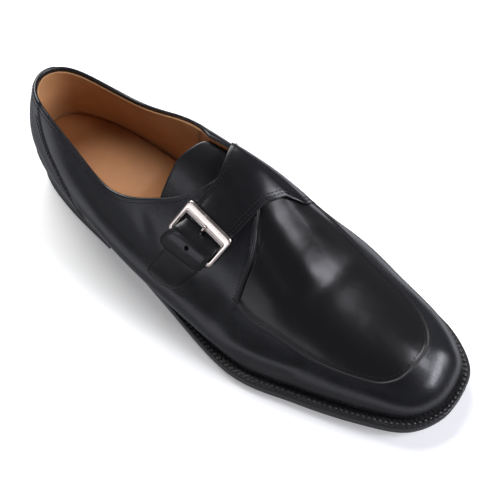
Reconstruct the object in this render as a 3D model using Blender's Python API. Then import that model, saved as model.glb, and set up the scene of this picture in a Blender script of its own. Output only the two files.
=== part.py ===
# Right monk-strap shoe with an apron toe, a welt and a stacked heel.
# X runs from heel to toe, Y to the inner (medial) side of the foot, Z up.
# The tables are in millimetres with X measured from the back of the sole.
import bpy
import bmesh
import numpy as np

MM = 0.001

# Sole stack
OUTSOLE_THICK = 4.9
WELT_THICK = 3.8
INSOLE_THICK = 3.0
TOP_PIECE_THICK = 6.0
FIT_GAP = 0.3
HEEL_BREAST_X = 79.0
HEEL_TAPER = 2.6
SEAT_RISE = 21.0
SEAT_SLOPE = 0.02
WAIST_RUN = (85.0, 188.0)
TOE_RUN = (205.0, 305.0)
TOE_SPRING = 7.9
SOLE_RIBS = 52

# Upper
WALL = 2.0
SPINE_RUN = (42.0, 262.0)
FOREPART_RUN = (0.5, 0.8)
SECTIONS = 46
LOW_ROWS = 8
HIGH_ROWS = 9
THROAT_ALONG = 0.47
SEAM_HALF = 0.016
QUARTER_STEP = 1.1
APRON_STEP = 0.5
COUNTER_STEP = 0.6
COUNTER_BLEND = 4.0

# Straps and tongue
STRAP_CELLS = 9
STRAP_STATIONS = 38
PRONG_HOLE_CELL = (5, 4)

# Buckle, placed on the lateral instep
BUCKLE_ALONG = 0.484
BUCKLE_T = 0.585
BUCKLE_LENGTH = 29.6
BUCKLE_WIDTH = 16.4
BUCKLE_CORNER = 3.0
BUCKLE_TURN = 6.0
BUCKLE_LIFT = 4.5
BUCKLE_TILT = 0.8
INSTEP_BAR_WIDTH = 7.4
BAR_WIDTH = 2.8
BAR_THICK = 2.2

SOLE_PLAN = (
    # name, x, y
    ("heel_back", 0.0, 0.0),
    ("heel_back_lateral", 9.5, -19.4),
    ("heel_lateral", 38.5, -30.3),
    ("breast_lateral", 84.4, -38.3),
    ("waist_lateral", 133.6, -47.6),
    ("ball_lateral", 189.6, -56.6),
    ("forepart_lateral", 229.8, -48.1),
    ("toe_side_lateral", 264.3, -37.8),
    ("toe_corner_lateral", 289.6, -26.6),
    ("toe_front_lateral", 301.4, -9.5),
    ("toe_front_medial", 302.6, 9.7),
    ("toe_corner_medial", 296.5, 26.5),
    ("toe_side_medial", 275.6, 40.9),
    ("forepart_medial", 245.1, 48.7),
    ("ball_medial", 209.8, 54.0),
    ("arch_front_medial", 170.1, 42.5),
    ("waist_medial", 130.3, 30.2),
    ("breast_medial", 85.0, 31.6),
    ("heel_medial", 38.4, 29.2),
    ("heel_back_medial", 9.8, 18.9),
)

WELT_MARGIN = (
    # x, width of welt outside the upper
    (0.0, 2.0),
    (40.0, 2.0),
    (90.0, 2.5),
    (140.0, 3.5),
    (190.0, 5.0),
    (305.0, 5.2),
)

LAST = (
    # along, ridge z, ridge y, lateral flare, medial flare, wall, lateral crown, medial crown
    (0.00, 121.5, -0.4, 2.5, 2.5, 0.46, 0.59, 0.58),
    (0.17, 99.0, 6.5, 25.0, 6.5, 0.25, 0.50, 0.70),
    (0.34, 94.5, 16.5, 33.0, 6.0, 0.20, 0.39, 1.10),
    (0.50, 88.4, 19.0, 21.0, 4.2, 0.29, 0.41, 1.25),
    (0.65, 71.6, 16.0, 4.6, 1.6, 0.40, 0.53, 0.74),
    (0.80, 56.7, 7.3, 3.0, 0.4, 0.50, 0.68, 0.74),
    (0.92, 48.2, 2.7, 1.0, 0.7, 0.52, 0.70, 0.74),
    (1.00, 44.4, 1.8, 0.8, 1.0, 0.46, 0.64, 0.64),
)

COLLAR = (
    # along, minus on the lateral side and plus on the medial side, and height of the rim
    (-0.47, 92.0),
    (-0.43, 81.3),
    (-0.37, 72.8),
    (-0.32, 67.8),
    (-0.27, 66.6),
    (-0.22, 69.0),
    (-0.15, 74.6),
    (-0.08, 79.6),
    (0.00, 82.6),
    (0.05, 76.8),
    (0.10, 71.4),
    (0.15, 69.0),
    (0.20, 70.2),
    (0.25, 76.0),
    (0.31, 86.5),
    (0.36, 95.0),
    (0.41, 103.0),
)

APRON = (
    # along, lateral and medial place of the quarter edge and apron seam up the section
    (0.470, 0.620, 0.640),
    (0.510, 0.740, 0.800),
    (0.550, 0.860, 0.940),
    (0.580, 0.755, 0.720),
    (0.600, 0.640, 0.630),
    (0.612, 0.450, 0.600),
    (0.650, 0.432, 0.655),
    (0.700, 0.440, 0.690),
    (0.760, 0.424, 0.685),
    (0.810, 0.434, 0.650),
    (0.865, 0.453, 0.641),
    (0.907, 0.478, 0.648),
    (0.948, 0.572, 0.675),
    (0.982, 0.700, 0.730),
    (1.000, 0.770, 0.770),
)

COUNTER = (
    # height, x of the heel counter seam on the lateral and on the medial side
    (30.0, 80.0, 70.0),
    (37.0, 76.0, 66.0),
    (42.0, 71.0, 62.0),
    (47.0, 63.0, 57.0),
    (53.0, 52.0, 45.0),
    (57.0, 44.5, 27.0),
    (61.0, 37.4, 16.0),
    (69.0, 28.6, 12.0),
    (78.0, 24.0, 11.0),
    (85.0, 23.0, 11.0),
)

TONGUE = (
    # across, back edge, front edge, lift of its under face, thickness
    (-0.52, 0.385, 0.565, -5.5, 1.8),
    (-0.40, 0.366, 0.565, -5.5, 1.8),
    (-0.31, 0.354, 0.565, -5.5, 1.8),
    (-0.21, 0.344, 0.565, -5.5, 1.8),
    (-0.11, 0.348, 0.565, -5.6, 1.8),
    (-0.02, 0.358, 0.565, -5.8, 1.8),
    (0.05, 0.375, 0.565, -6.6, 1.8),
)

STRAP = (
    # across, back edge, front edge, lift of its under face, thickness
    (-0.535, 0.434, 0.512, 5.0, 2.2),
    (-0.523, 0.425, 0.521, 5.3, 2.2),
    (-0.508, 0.424, 0.522, 5.5, 2.2),
    (-0.485, 0.426, 0.523, 5.8, 2.2),
    (-0.465, 0.431, 0.525, 5.9, 2.2),
    (-0.445, 0.436, 0.527, 5.6, 2.2),
    (-0.425, 0.439, 0.529, 4.3, 2.2),
    (-0.409, 0.442, 0.530, 3.0, 2.2),
    (-0.383, 0.444, 0.534, 1.4, 2.2),
    (-0.315, 0.447, 0.545, 1.4, 2.2),
    (-0.250, 0.449, 0.551, 1.4, 2.2),
    (-0.185, 0.449, 0.557, 1.4, 2.2),
    (-0.110, 0.438, 0.563, 1.4, 2.2),
    (-0.050, 0.428, 0.577, 1.4, 2.2),
    (0.000, 0.422, 0.588, 1.4, 2.2),
    (0.060, 0.424, 0.606, 1.4, 1.8),
    (0.140, 0.430, 0.622, 1.4, 1.4),
    (0.250, 0.438, 0.618, 1.4, 0.9),
    (0.400, 0.448, 0.598, 1.4, 0.5),
)

CHAPE = (
    # across, back edge, front edge, lift of its under face, thickness
    (-0.738, 0.436, 0.458, 1.4, 1.2),
    (-0.725, 0.425, 0.473, 1.4, 1.2),
    (-0.700, 0.418, 0.486, 1.4, 1.2),
    (-0.660, 0.420, 0.497, 1.4, 1.2),
    (-0.600, 0.427, 0.508, 1.4, 1.2),
    (-0.520, 0.434, 0.517, 1.4, 1.2),
)

PRONG = (
    # down the strap, out from the instep, diameter
    (6.4, 3.3, 1.5),
    (3.0, 2.6, 1.5),
    (0.6, 2.1, 1.3),
    (-1.3, 2.1, 1.2),
    (-2.9, 4.6, 1.2),
    (-4.3, 6.8, 1.3),
    (-5.6, 7.2, 1.3),
    (-7.1, 7.1, 1.0),
)


def clear_scene():
    for item in list(bpy.data.objects):
        bpy.data.objects.remove(item, do_unlink=True)


def natural_spline(xs, ys, x):
    xs = np.asarray(xs, float)
    ys = np.asarray(ys, float)
    n = len(xs)
    h = np.diff(xs)
    m = np.eye(n)
    r = np.zeros(n)
    for i in range(1, n - 1):
        m[i, i - 1] = h[i - 1]
        m[i, i] = 2 * (h[i - 1] + h[i])
        m[i, i + 1] = h[i]
        r[i] = 6 * ((ys[i + 1] - ys[i]) / h[i] - (ys[i] - ys[i - 1]) / h[i - 1])
    c = np.linalg.solve(m, r)
    k = np.clip(np.searchsorted(xs, x) - 1, 0, n - 2)
    a = (xs[k + 1] - x) / h[k]
    b = (x - xs[k]) / h[k]
    bend = ((a ** 3 - a) * c[k] + (b ** 3 - b) * c[k + 1]) * h[k] ** 2 / 6
    return a * ys[k] + b * ys[k + 1] + bend


def closed_curve(points, steps):
    t = np.arange(steps)[:, None] / steps
    count = len(points)
    pieces = []
    for i in range(count):
        a = points[i - 1]
        b = points[i]
        c = points[(i + 1) % count]
        d = points[(i + 2) % count]
        piece = 2 * b + (c - a) * t + (2 * a - 5 * b + 4 * c - d) * t ** 2 + (3 * b - a - 3 * c + d) * t ** 3
        pieces.append(0.5 * piece)
    return np.concatenate(pieces)


def smooth(x):
    x = np.clip(x, 0, 1)
    return x * x * (3 - 2 * x)


def sole_under(x):
    # Underside of the outsole: flat under the ball, arched at the waist, sprung at the toe.
    toe = TOE_SPRING * np.clip((x - TOE_RUN[0]) / (TOE_RUN[1] - TOE_RUN[0]), 0, None) ** 2
    waist = SEAT_RISE * np.clip((WAIST_RUN[1] - x) / (WAIST_RUN[1] - WAIST_RUN[0]), 0, 1) ** 1.4
    return toe + waist + SEAT_SLOPE * np.clip(WAIST_RUN[0] - x, 0, None)


def welt_top(x):
    return sole_under(x) + OUTSOLE_THICK + FIT_GAP + WELT_THICK


def inset_sides(inset):
    # Sole outline moved in by `inset`, split into its lateral and medial sides.
    # Each side is x and y against an angle that runs from heel (0) to toe (pi).
    plan = closed_curve(np.array([row[1:] for row in SOLE_PLAN]), 24)
    run = np.roll(plan, -1, 0) - np.roll(plan, 1, 0)
    inward = np.column_stack([-run[:, 1], run[:, 0]]) / np.linalg.norm(run, axis=1)[:, None]
    edge = plan + inward * np.asarray(inset(plan[:, 0]))[:, None]
    first = int(np.argmin(edge[:, 0]))
    edge = np.roll(edge, -first, 0)
    toe = int(np.argmax(edge[:, 0]))
    lateral = edge[:toe + 1]
    medial = np.concatenate([edge[:1], edge[:toe - 1:-1]])
    sides = {}
    for key, side in ((-1, lateral), (1, medial)):
        along = np.clip((side[:, 0] - edge[0, 0]) / (edge[toe, 0] - edge[0, 0]), 0, 1)
        angle = np.maximum.accumulate(np.arccos(1 - 2 * along))
        sides[key] = (angle, side)
    return sides


def on_side(sides, side, angle):
    low = sides[-1]
    high = sides[1]
    lateral = [np.interp(angle, low[0], low[1][:, i]) for i in (0, 1)]
    medial = [np.interp(angle, high[0], high[1][:, i]) for i in (0, 1)]
    pick = np.asarray(side) < 0
    return np.stack([np.where(pick, lateral[i], medial[i]) for i in (0, 1)], axis=-1)


def welt_margin(x):
    table = np.array(WELT_MARGIN)
    return np.interp(x, table[:, 0], table[:, 1])


FEATHER = inset_sides(welt_margin)


def section_frame(angle, side):
    # Foot of the section on the feather line, its ridge point, and its row of the last table.
    foot = on_side(FEATHER, side, angle)
    along = (1 - np.cos(angle)) / 2
    table = np.array(LAST)
    ridge_z, ridge_y, lat_flare, med_flare, wall, lat_crown, med_crown = [
        natural_spline(table[:, 0], table[:, i], along) for i in range(1, 8)]
    ridge = np.stack([SPINE_RUN[0] + (SPINE_RUN[1] - SPINE_RUN[0]) * along, ridge_y], axis=-1)
    pick = np.asarray(side) < 0
    return foot, ridge, ridge_z, np.where(pick, lat_flare, med_flare), wall, np.where(pick, lat_crown, med_crown)


def ridge_slope(angle):
    # Fall of the ridge for each millimetre forward, brought in over the forepart.
    table = np.array(LAST)
    ends = [(1 - np.cos(np.clip(angle + step, 0, np.pi))) / 2 for step in (-0.02, 0.02)]
    low, high = [natural_spline(table[:, 0], table[:, 1], end) for end in ends]
    run = (ends[1] - ends[0]) * (SPINE_RUN[1] - SPINE_RUN[0])
    share = smooth((sum(ends) / 2 - FOREPART_RUN[0]) / (FOREPART_RUN[1] - FOREPART_RUN[0]))
    return (high - low) / run * share


def last_point(angle, side, t):
    # One cubic curve per section, from the feather line (t 0) up the wall and over to the ridge (t 1).
    # It reaches the ridge within the plane that the ridge's slope gives, so the two sides meet smoothly.
    foot, ridge, ridge_z, flare, wall, crown = section_frame(angle, side)
    reach = foot - ridge
    width = np.linalg.norm(reach, axis=-1)
    foot_z = welt_top(foot[..., 0]) + FIT_GAP
    rise = ridge_z - foot_z
    b0 = (1 - t) ** 3
    b1 = 3 * (1 - t) ** 2 * t
    b2 = 3 * (1 - t) * t ** 2
    out = b0 + b1 * (1 + flare / width) + b2 * crown
    z = foot_z + rise * (b1 * wall + b2 + t ** 3) + b2 * crown * ridge_slope(angle) * reach[..., 0]
    return np.concatenate([ridge + reach * out[..., None], z[..., None]], axis=-1)


def side_normal(angle, side, t):
    e = 0.002
    low = np.clip(t - e, 0, 1)
    high = np.clip(t + e, 0, 1)
    up = last_point(angle, side, high) - last_point(angle, side, low)
    fore = last_point(np.minimum(angle + e, np.pi), side, t) - last_point(np.maximum(angle - e, 0), side, t)
    n = np.cross(fore, up) * np.asarray(-np.sign(side), float)[..., None]
    return n / np.linalg.norm(n, axis=-1)[..., None]


def last_normal(angle, side, t):
    # The two sides share one normal on the ridge.
    n = side_normal(angle, side, t)
    both = n + side_normal(angle, -side, t)
    return np.where((t > 0.999)[..., None], both / np.linalg.norm(both, axis=-1)[..., None], n)


def seam_height(angle):
    return np.interp((1 - np.cos(angle)) / 2, (0.62, 0.70), (QUARTER_STEP, APRON_STEP))


def skin(angle, side, t, lift):
    # Point at a lift over the level of the apron and tongue, which lie one seam height under the last.
    # The offset runs level at the feather line, so the bottom edge stays on its plane.
    normal = last_normal(angle, side, t)
    normal = normal * np.stack([np.ones_like(t), np.ones_like(t), smooth(t / 0.12)], axis=-1)
    normal = normal / np.linalg.norm(normal, axis=-1)[..., None]
    return last_point(angle, side, t) + normal * (lift - seam_height(angle))[..., None]


def collar_t(angle, side):
    # Section parameter at which the wall reaches the collar height.
    table = np.array(COLLAR)
    knots = np.sign(table[:, 0]) * np.arccos(1 - 2 * np.abs(table[:, 0]))
    height = natural_spline(knots, table[:, 1], np.clip(angle * side, knots[0], knots[-1]))
    low = np.zeros_like(height)
    high = np.ones_like(height)
    for _ in range(30):
        mid = (low + high) / 2
        below = last_point(angle, side, mid)[..., 2] < height
        low = np.where(below, mid, low)
        high = np.where(below, high, mid)
    return np.where(low > 0.985, 1.0, low)


def seam_t(angle, side):
    along = (1 - np.cos(angle)) / 2
    table = np.array(APRON)
    lateral = np.interp(along, table[:, 0], table[:, 1])
    medial = np.interp(along, table[:, 0], table[:, 2])
    return np.where(side < 0, lateral, medial)


def wall_step(angle, side, t):
    # Quarters and toe wall stand proud of the apron, and the heel counter stands proud of the quarters.
    step = seam_height(angle) * smooth((seam_t(angle, side) - t) / (2 * SEAM_HALF) + 0.5)
    heel = np.array(COUNTER)
    point = last_point(angle, side, t)
    lateral = np.interp(point[..., 2], heel[:, 0], heel[:, 1])
    medial = np.interp(point[..., 2], heel[:, 0], heel[:, 2])
    line = np.where(side < 0, lateral, medial)
    return step + COUNTER_STEP * smooth((line - point[..., 0]) / COUNTER_BLEND + 0.5)


def material(name, colour, roughness, metallic=0.0):
    item = bpy.data.materials.new(name)
    item.use_nodes = True
    shader = item.node_tree.nodes["Principled BSDF"]
    shader.inputs["Base Color"].default_value = (*colour, 1.0)
    shader.inputs["Roughness"].default_value = roughness
    shader.inputs["Metallic"].default_value = metallic
    return item


def add_object(name, points, faces, look):
    mesh = bpy.data.meshes.new(name)
    mesh.from_pydata((np.reshape(points, (-1, 3)) * MM).tolist(), [], faces)
    work = bmesh.new()
    work.from_mesh(mesh)
    bmesh.ops.remove_doubles(work, verts=work.verts, dist=0.00001)
    bmesh.ops.dissolve_degenerate(work, edges=work.edges, dist=0.00001)
    bmesh.ops.recalc_face_normals(work, faces=work.faces)
    work.to_mesh(mesh)
    work.free()
    item = bpy.data.objects.new(name, mesh)
    bpy.context.collection.objects.link(item)
    mesh.materials.append(material(name + "_" + look[0], *look[1:]))
    return item


def grid_faces(columns, rows, wrap=False):
    faces = []
    for i in range(columns if wrap else columns - 1):
        k = (i + 1) % columns
        for j in range(rows - 1):
            faces.append((i * rows + j, k * rows + j, k * rows + j + 1, i * rows + j + 1))
    return faces


def shell(name, outer, inner, faces, look):
    # Closed solid between two grids of the same faces, with walls along the open edges.
    outer = np.reshape(outer, (-1, 3))
    inner = np.reshape(inner, (-1, 3))
    _, first, shared = np.unique(np.round(outer, 3), axis=0, return_index=True, return_inverse=True)
    shared = np.reshape(shared, -1)
    count = len(first)
    top = [tuple(int(shared[v]) for v in face) for face in faces]
    edges = set()
    for face in top:
        edges.update(zip(face, face[1:] + face[:1]))
    solid = list(top)
    solid.extend(tuple(v + count for v in reversed(face)) for face in top)
    for a, b in edges:
        if (b, a) not in edges:
            solid.append((b, a, a + count, b + count))
    return add_object(name, np.concatenate([outer[first], inner[first]]), solid, look)


def plate(name, look, low, high, inset_low, inset_high, end_x=None):
    # Slab across the sole, one straight rib per section, closed at the heel and at the toe or a breast line.
    ribs = []
    for level, inset in ((low, inset_low), (high, inset_high)):
        sides = inset_sides(inset)
        ends = sides[-1][1][[0, -1], 0]
        last = np.pi
        if end_x is not None:
            last = np.arccos(1 - 2 * (end_x - ends[0]) / (ends[1] - ends[0]))
        angle = np.linspace(0, last, SOLE_RIBS + 1)
        for side in (-1, 1):
            edge = on_side(sides, side, angle)
            ribs.append(np.column_stack([edge, level(edge[:, 0])]))
    points = np.stack([ribs[0], ribs[1], ribs[3], ribs[2]], axis=1)
    faces = []
    for i in range(SOLE_RIBS):
        for j in range(4):
            k = (j + 1) % 4
            faces.append((i * 4 + j, i * 4 + k, i * 4 + 4 + k, i * 4 + 4 + j))
    if end_x is not None:
        faces.append(tuple(SOLE_RIBS * 4 + j for j in range(4)))
    return add_object(name, points, faces, look)


def make_sole(leather, rubber, tan):
    def level(value):
        return lambda x: np.full_like(x, value)

    def over(value):
        return lambda x: sole_under(x) + value

    def bed(x):
        return welt_margin(x) + WALL + QUARTER_STEP + 0.6

    welt_low = OUTSOLE_THICK + FIT_GAP
    bed_low = welt_low + WELT_THICK + FIT_GAP
    taper = HEEL_TAPER * 0.75
    plate("outsole", leather, over(0.0), over(OUTSOLE_THICK), level(0.9), level(0.4))
    plate("midsole", leather, over(welt_low), over(welt_low + WELT_THICK), level(0.0), level(0.0))
    plate("heel", leather, level(TOP_PIECE_THICK + FIT_GAP), over(-FIT_GAP), level(taper), level(0.6), HEEL_BREAST_X)
    plate("heel_top_piece", rubber, level(0.0), level(TOP_PIECE_THICK), level(HEEL_TAPER), level(taper), HEEL_BREAST_X)
    plate("insole", tan, over(bed_low), over(bed_low + INSOLE_THICK), bed, bed)


def make_upper(look):
    angle = np.pi * np.arange(SECTIONS + 1) / SECTIONS
    angle = np.concatenate([angle, angle[-2:0:-1]])[:, None]
    side = np.where(np.arange(len(angle)) <= SECTIONS, -1.0, 1.0)[:, None]
    along = (1 - np.cos(angle)) / 2
    top = np.where(along < THROAT_ALONG, collar_t(angle, side), 1.0)
    seam = np.where(along < THROAT_ALONG, 0.6 * top, seam_t(angle, side))
    below = (seam - SEAM_HALF) * np.linspace(0, 1, LOW_ROWS)[None, :]
    above = seam + SEAM_HALF + (top - seam - SEAM_HALF) * np.linspace(0, 1, HIGH_ROWS)[None, :]
    t = np.concatenate([below, above], axis=1)
    angle = np.broadcast_to(angle, t.shape)
    side = np.broadcast_to(side, t.shape)
    outer = skin(angle, side, t, wall_step(angle, side, t))
    inner = skin(angle, side, t, np.full_like(t, -WALL))
    shell("upper", outer, inner, grid_faces(len(t), LOW_ROWS + HIGH_ROWS, wrap=True), look)


def patch(name, look, table, count, cells, hole=None):
    # Strip laid over the instep from a table of stations. `across` is minus on the lateral side and plus on
    # the medial side, 0 at the ridge and 1 at the feather line. Its edges are given along the spine.
    rows = np.array(table)
    across = np.linspace(rows[0, 0], rows[-1, 0], count)
    back, front, lift, thickness = [np.interp(across, rows[:, 0], rows[:, i]) for i in (1, 2, 3, 4)]
    along = front[:, None] + (back - front)[:, None] * np.linspace(0, 1, cells + 1)[None, :]
    angle = np.arccos(1 - 2 * along)
    side = np.broadcast_to(np.where(across > 0, 1.0, -1.0)[:, None], angle.shape)
    t = np.broadcast_to(1 - np.abs(across)[:, None], angle.shape)
    under = np.broadcast_to(lift[:, None], angle.shape)
    faces = grid_faces(count, cells + 1)
    if hole:
        del faces[hole[0] * cells + hole[1]]
    outer = skin(angle, side, t, under + thickness[:, None])
    inner = skin(angle, side, t, under)
    shell(name, outer, inner, faces, look)


def buckle_axes():
    # Centre of the buckle on the lateral instep, with its fore, down-strap and outward directions.
    angle = np.arccos(1 - 2 * np.array([BUCKLE_ALONG]))
    side = np.array([-1.0])
    t = np.array([BUCKLE_T])
    centre = skin(angle, side, t, np.zeros(1))[0]
    out = last_normal(angle, side, t)[0]
    fore = (last_point(angle + 0.01, side, t) - last_point(angle - 0.01, side, t))[0]
    fore -= out * fore.dot(out)
    fore /= np.linalg.norm(fore)
    down = np.cross(fore, out)
    turn = np.radians(BUCKLE_TURN)
    return centre, fore * np.cos(turn) + down * np.sin(turn), down * np.cos(turn) - fore * np.sin(turn), out


def bar(name, look, path, across, out, widths, heights, closed):
    # Bar with an eight-sided bevelled profile along a path, `across` being its width direction per point.
    ring = np.array([(1, -0.45), (1, 0.45), (0.6, 1), (-0.6, 1), (-1, 0.45), (-1, -0.45), (-0.6, -1), (0.6, -1)]) / 2
    points = path[:, None] + across[:, None] * (ring[:, 0] * widths[:, None])[..., None]
    points = points + out[:, None] * (ring[:, 1] * heights[:, None])[..., None]
    count = len(path)
    faces = []
    for i in range(count if closed else count - 1):
        k = (i + 1) % count
        for j in range(8):
            m = (j + 1) % 8
            faces.append((i * 8 + j, k * 8 + j, k * 8 + m, i * 8 + m))
    if not closed:
        faces.append(tuple(range(8)))
        faces.append(tuple((count - 1) * 8 + j for j in range(8)))
    return add_object(name, points, faces, look)


def make_buckle(metal):
    centre, fore, down, out = buckle_axes()
    half_fore = BUCKLE_LENGTH / 2
    half_down = BUCKLE_WIDTH / 2
    turn = np.linspace(0, np.pi / 2, 4)
    path = []
    for x, y, start in ((1, -1, -np.pi / 2), (1, 1, 0), (-1, 1, np.pi / 2), (-1, -1, np.pi)):
        hub = np.array([x * (half_fore - BUCKLE_CORNER), y * (half_down - BUCKLE_CORNER)])
        path.extend(hub + BUCKLE_CORNER * np.column_stack([np.cos(start + turn), np.sin(start + turn)]))
    path = np.array(path)
    run = np.roll(path, -1, 0) - np.roll(path, 1, 0)
    run /= np.linalg.norm(run, axis=1)[:, None]
    side = np.column_stack([run[:, 1], -run[:, 0]])
    lift = BUCKLE_LIFT - BUCKLE_TILT * path[:, 1] / half_down
    points = centre + path[:, :1] * fore + path[:, 1:] * down + lift[:, None] * out
    across = side[:, :1] * fore + side[:, 1:] * down
    widths = np.where(path[:, 1] < -half_down + 1.0, INSTEP_BAR_WIDTH, BAR_WIDTH)
    outward = np.broadcast_to(out, points.shape)
    bar("buckle_frame", metal, points, across, outward, widths, np.full(len(path), BAR_THICK), True)
    rod = np.array(PRONG)
    points = centre + rod[:, :1] * down + rod[:, 1:2] * out
    run = np.gradient(points, axis=0)
    run /= np.linalg.norm(run, axis=1)[:, None]
    across = np.broadcast_to(fore, points.shape)
    bar("buckle_prong", metal, points, across, np.cross(run, across), rod[:, 2], rod[:, 2], False)


def centre_on_floor():
    items = [item for item in bpy.data.objects if item.type == "MESH"]
    corners = np.array([tuple(vertex.co) for item in items for vertex in item.data.vertices])
    low = corners.min(axis=0)
    high = corners.max(axis=0)
    shift = np.array([-(low[0] + high[0]) / 2, -(low[1] + high[1]) / 2, -low[2]])
    for item in items:
        for vertex in item.data.vertices:
            vertex.co = [vertex.co[i] + shift[i] for i in range(3)]
    print("shift to centre, mm", (shift / MM).round(3).tolist())


def build():
    clear_scene()
    black = ("leather", (0.016, 0.017, 0.02), 0.35)
    edge = ("edge", (0.03, 0.03, 0.032), 0.5)
    rubber = ("rubber", (0.02, 0.02, 0.02), 0.7)
    tan = ("leather", (0.30, 0.16, 0.075), 0.6)
    metal = ("metal", (0.75, 0.73, 0.70), 0.28, 1.0)
    make_sole(edge, rubber, tan)
    make_upper(black)
    patch("tongue", black, TONGUE, 23, 12)
    patch("strap", black, STRAP, STRAP_STATIONS, STRAP_CELLS, PRONG_HOLE_CELL)
    patch("chape", black, CHAPE, 11, 6)
    make_buckle(metal)
    centre_on_floor()


build()
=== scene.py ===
import math
import bmesh
import bpy
import numpy as np
from mathutils import Matrix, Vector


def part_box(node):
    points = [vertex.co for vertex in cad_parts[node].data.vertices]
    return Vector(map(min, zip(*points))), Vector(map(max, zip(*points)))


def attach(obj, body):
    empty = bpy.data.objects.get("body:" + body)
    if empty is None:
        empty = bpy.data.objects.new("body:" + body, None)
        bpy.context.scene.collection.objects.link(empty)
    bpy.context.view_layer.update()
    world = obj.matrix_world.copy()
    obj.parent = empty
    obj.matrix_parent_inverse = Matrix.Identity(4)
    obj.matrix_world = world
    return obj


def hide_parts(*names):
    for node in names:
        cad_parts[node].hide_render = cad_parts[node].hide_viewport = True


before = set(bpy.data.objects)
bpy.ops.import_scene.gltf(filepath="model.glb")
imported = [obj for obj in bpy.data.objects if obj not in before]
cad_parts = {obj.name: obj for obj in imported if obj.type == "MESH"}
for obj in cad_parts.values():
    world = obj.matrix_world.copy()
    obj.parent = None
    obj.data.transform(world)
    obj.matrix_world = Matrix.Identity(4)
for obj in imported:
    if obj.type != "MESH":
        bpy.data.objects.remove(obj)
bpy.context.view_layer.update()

print("frame loaded:", len(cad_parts), "nodes")

# Right monk-strap shoe. All shapes are in millimetres, x from the back of the heel to the toe,
# y to the inner side of the foot, z up from the floor, and are moved onto the frame when a piece is made.
perMetre = 1000


# Curves and tables

def smoothStep(x):
    # 0 below 0, 1 above 1, an S curve between
    x = np.clip(x, 0, 1)
    return x * x * (3 - 2 * x)


def rise(x, start, run):
    # the S curve from 0 at the start to 1 a run further on; a minus run puts the 1 before the start
    return smoothStep((x - start) / run)


def passing(x, width):
    # the S curve from 0 to 1 over a width, with its middle at 0
    return smoothStep(x / width + 0.5)


def hump(x):
    # bell of height 1 and width 1 about 0
    return np.exp(-np.square(x))


def unit(v):
    # each vector over its own length
    return v / np.linalg.norm(v, axis=-1, keepdims=True)


def arcLength(points):
    # distance along a line of points, added up from its first
    step = np.linalg.norm(np.diff(points, axis=0), axis=-1)
    return np.concatenate([[0], np.cumsum(step)])


def toAngle(along):
    # share of the length, 0 heel to 1 toe, as an angle: its cosine is 1 minus twice the share
    return np.arccos(1 - 2 * np.clip(along, 0, 1))


def toAlong(angle):
    # the same turned back
    return (1 - np.cos(angle)) / 2


def stiffCurve(xs, ys, x):
    # natural cubic spline: continuous second derivative, no bending at its ends
    xs, ys = np.asarray(xs, float), np.asarray(ys, float)
    n, h = len(xs), np.diff(xs)
    m, r = np.eye(n), np.zeros(n)
    inner = np.arange(1, n - 1)
    m[inner, inner - 1] = h[:-1]
    m[inner, inner] = 2 * (h[:-1] + h[1:])
    m[inner, inner + 1] = h[1:]
    r[1:-1] = 6 * np.diff(np.diff(ys) / h)
    c = np.linalg.solve(m, r)
    k = np.clip(np.searchsorted(xs, x) - 1, 0, n - 2)
    a = (xs[k + 1] - x) / h[k]
    b = (x - xs[k]) / h[k]
    bend = ((a ** 3 - a) * c[k] + (b ** 3 - b) * c[k + 1]) * h[k] ** 2 / 6
    return a * ys[k] + b * ys[k + 1] + bend


def easyCurve(xs, ys, x):
    # cubic through a table that never overshoots: the slope at a row is the harmonic mean of its two chords
    xs, ys = np.asarray(xs, float), np.asarray(ys, float)
    h = np.diff(xs)
    d = np.diff(ys) / h
    slope = np.concatenate([d[:1], np.zeros(len(xs) - 2), d[-1:]])
    same = d[:-1] * d[1:] > 0
    first, second = 2 * h[1:] + h[:-1], h[1:] + 2 * h[:-1]
    safe = np.where(same, d[:-1], 1), np.where(same, d[1:], 1)
    slope[1:-1] = np.where(same, (first + second) / (first / safe[0] + second / safe[1]), 0)
    k = np.clip(np.searchsorted(xs, x) - 1, 0, len(xs) - 2)
    s = np.clip((x - xs[k]) / h[k], 0, 1)
    low = (1 + 2 * s) * ys[k] + s * h[k] * slope[k]
    high = (3 - 2 * s) * ys[k + 1] + (s - 1) * h[k] * slope[k + 1]
    return (1 - s) ** 2 * low + s ** 2 * high


def tableCurves(rows, x):
    # an easy curve for each further column of a table, read at x in its first column
    return [easyCurve(rows[:, 0], column, x) for column in rows.T[1:]]


def sideCurve(rows, side, x):
    # the table's second column on the outer side (minus), its third on the inner side
    return np.where(side < 0, *tableCurves(rows, x))


def closedCurve(points, steps):
    # Catmull-Rom curve round a ring of points
    t = np.arange(steps)[:, None, None] / steps
    a, b, c, d = [np.roll(points, shift, 0)[None] for shift in (1, 0, -1, -2)]
    curve = 2 * b + (c - a) * t + (2 * a - 5 * b + 4 * c - d) * t ** 2 + (3 * b - a - 3 * c + d) * t ** 3
    return np.swapaxes(curve / 2, 0, 1).reshape(-1, points.shape[1])


def halved(isBelow, low, high, rounds):
    # the place between low and high where `isBelow` turns from true to false, by halving
    for _ in range(rounds):
        middle = (low + high) / 2
        below = isBelow(middle)
        low, high = np.where(below, middle, low), np.where(below, high, middle)
    return middle


# The sole's outline and levels

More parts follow.
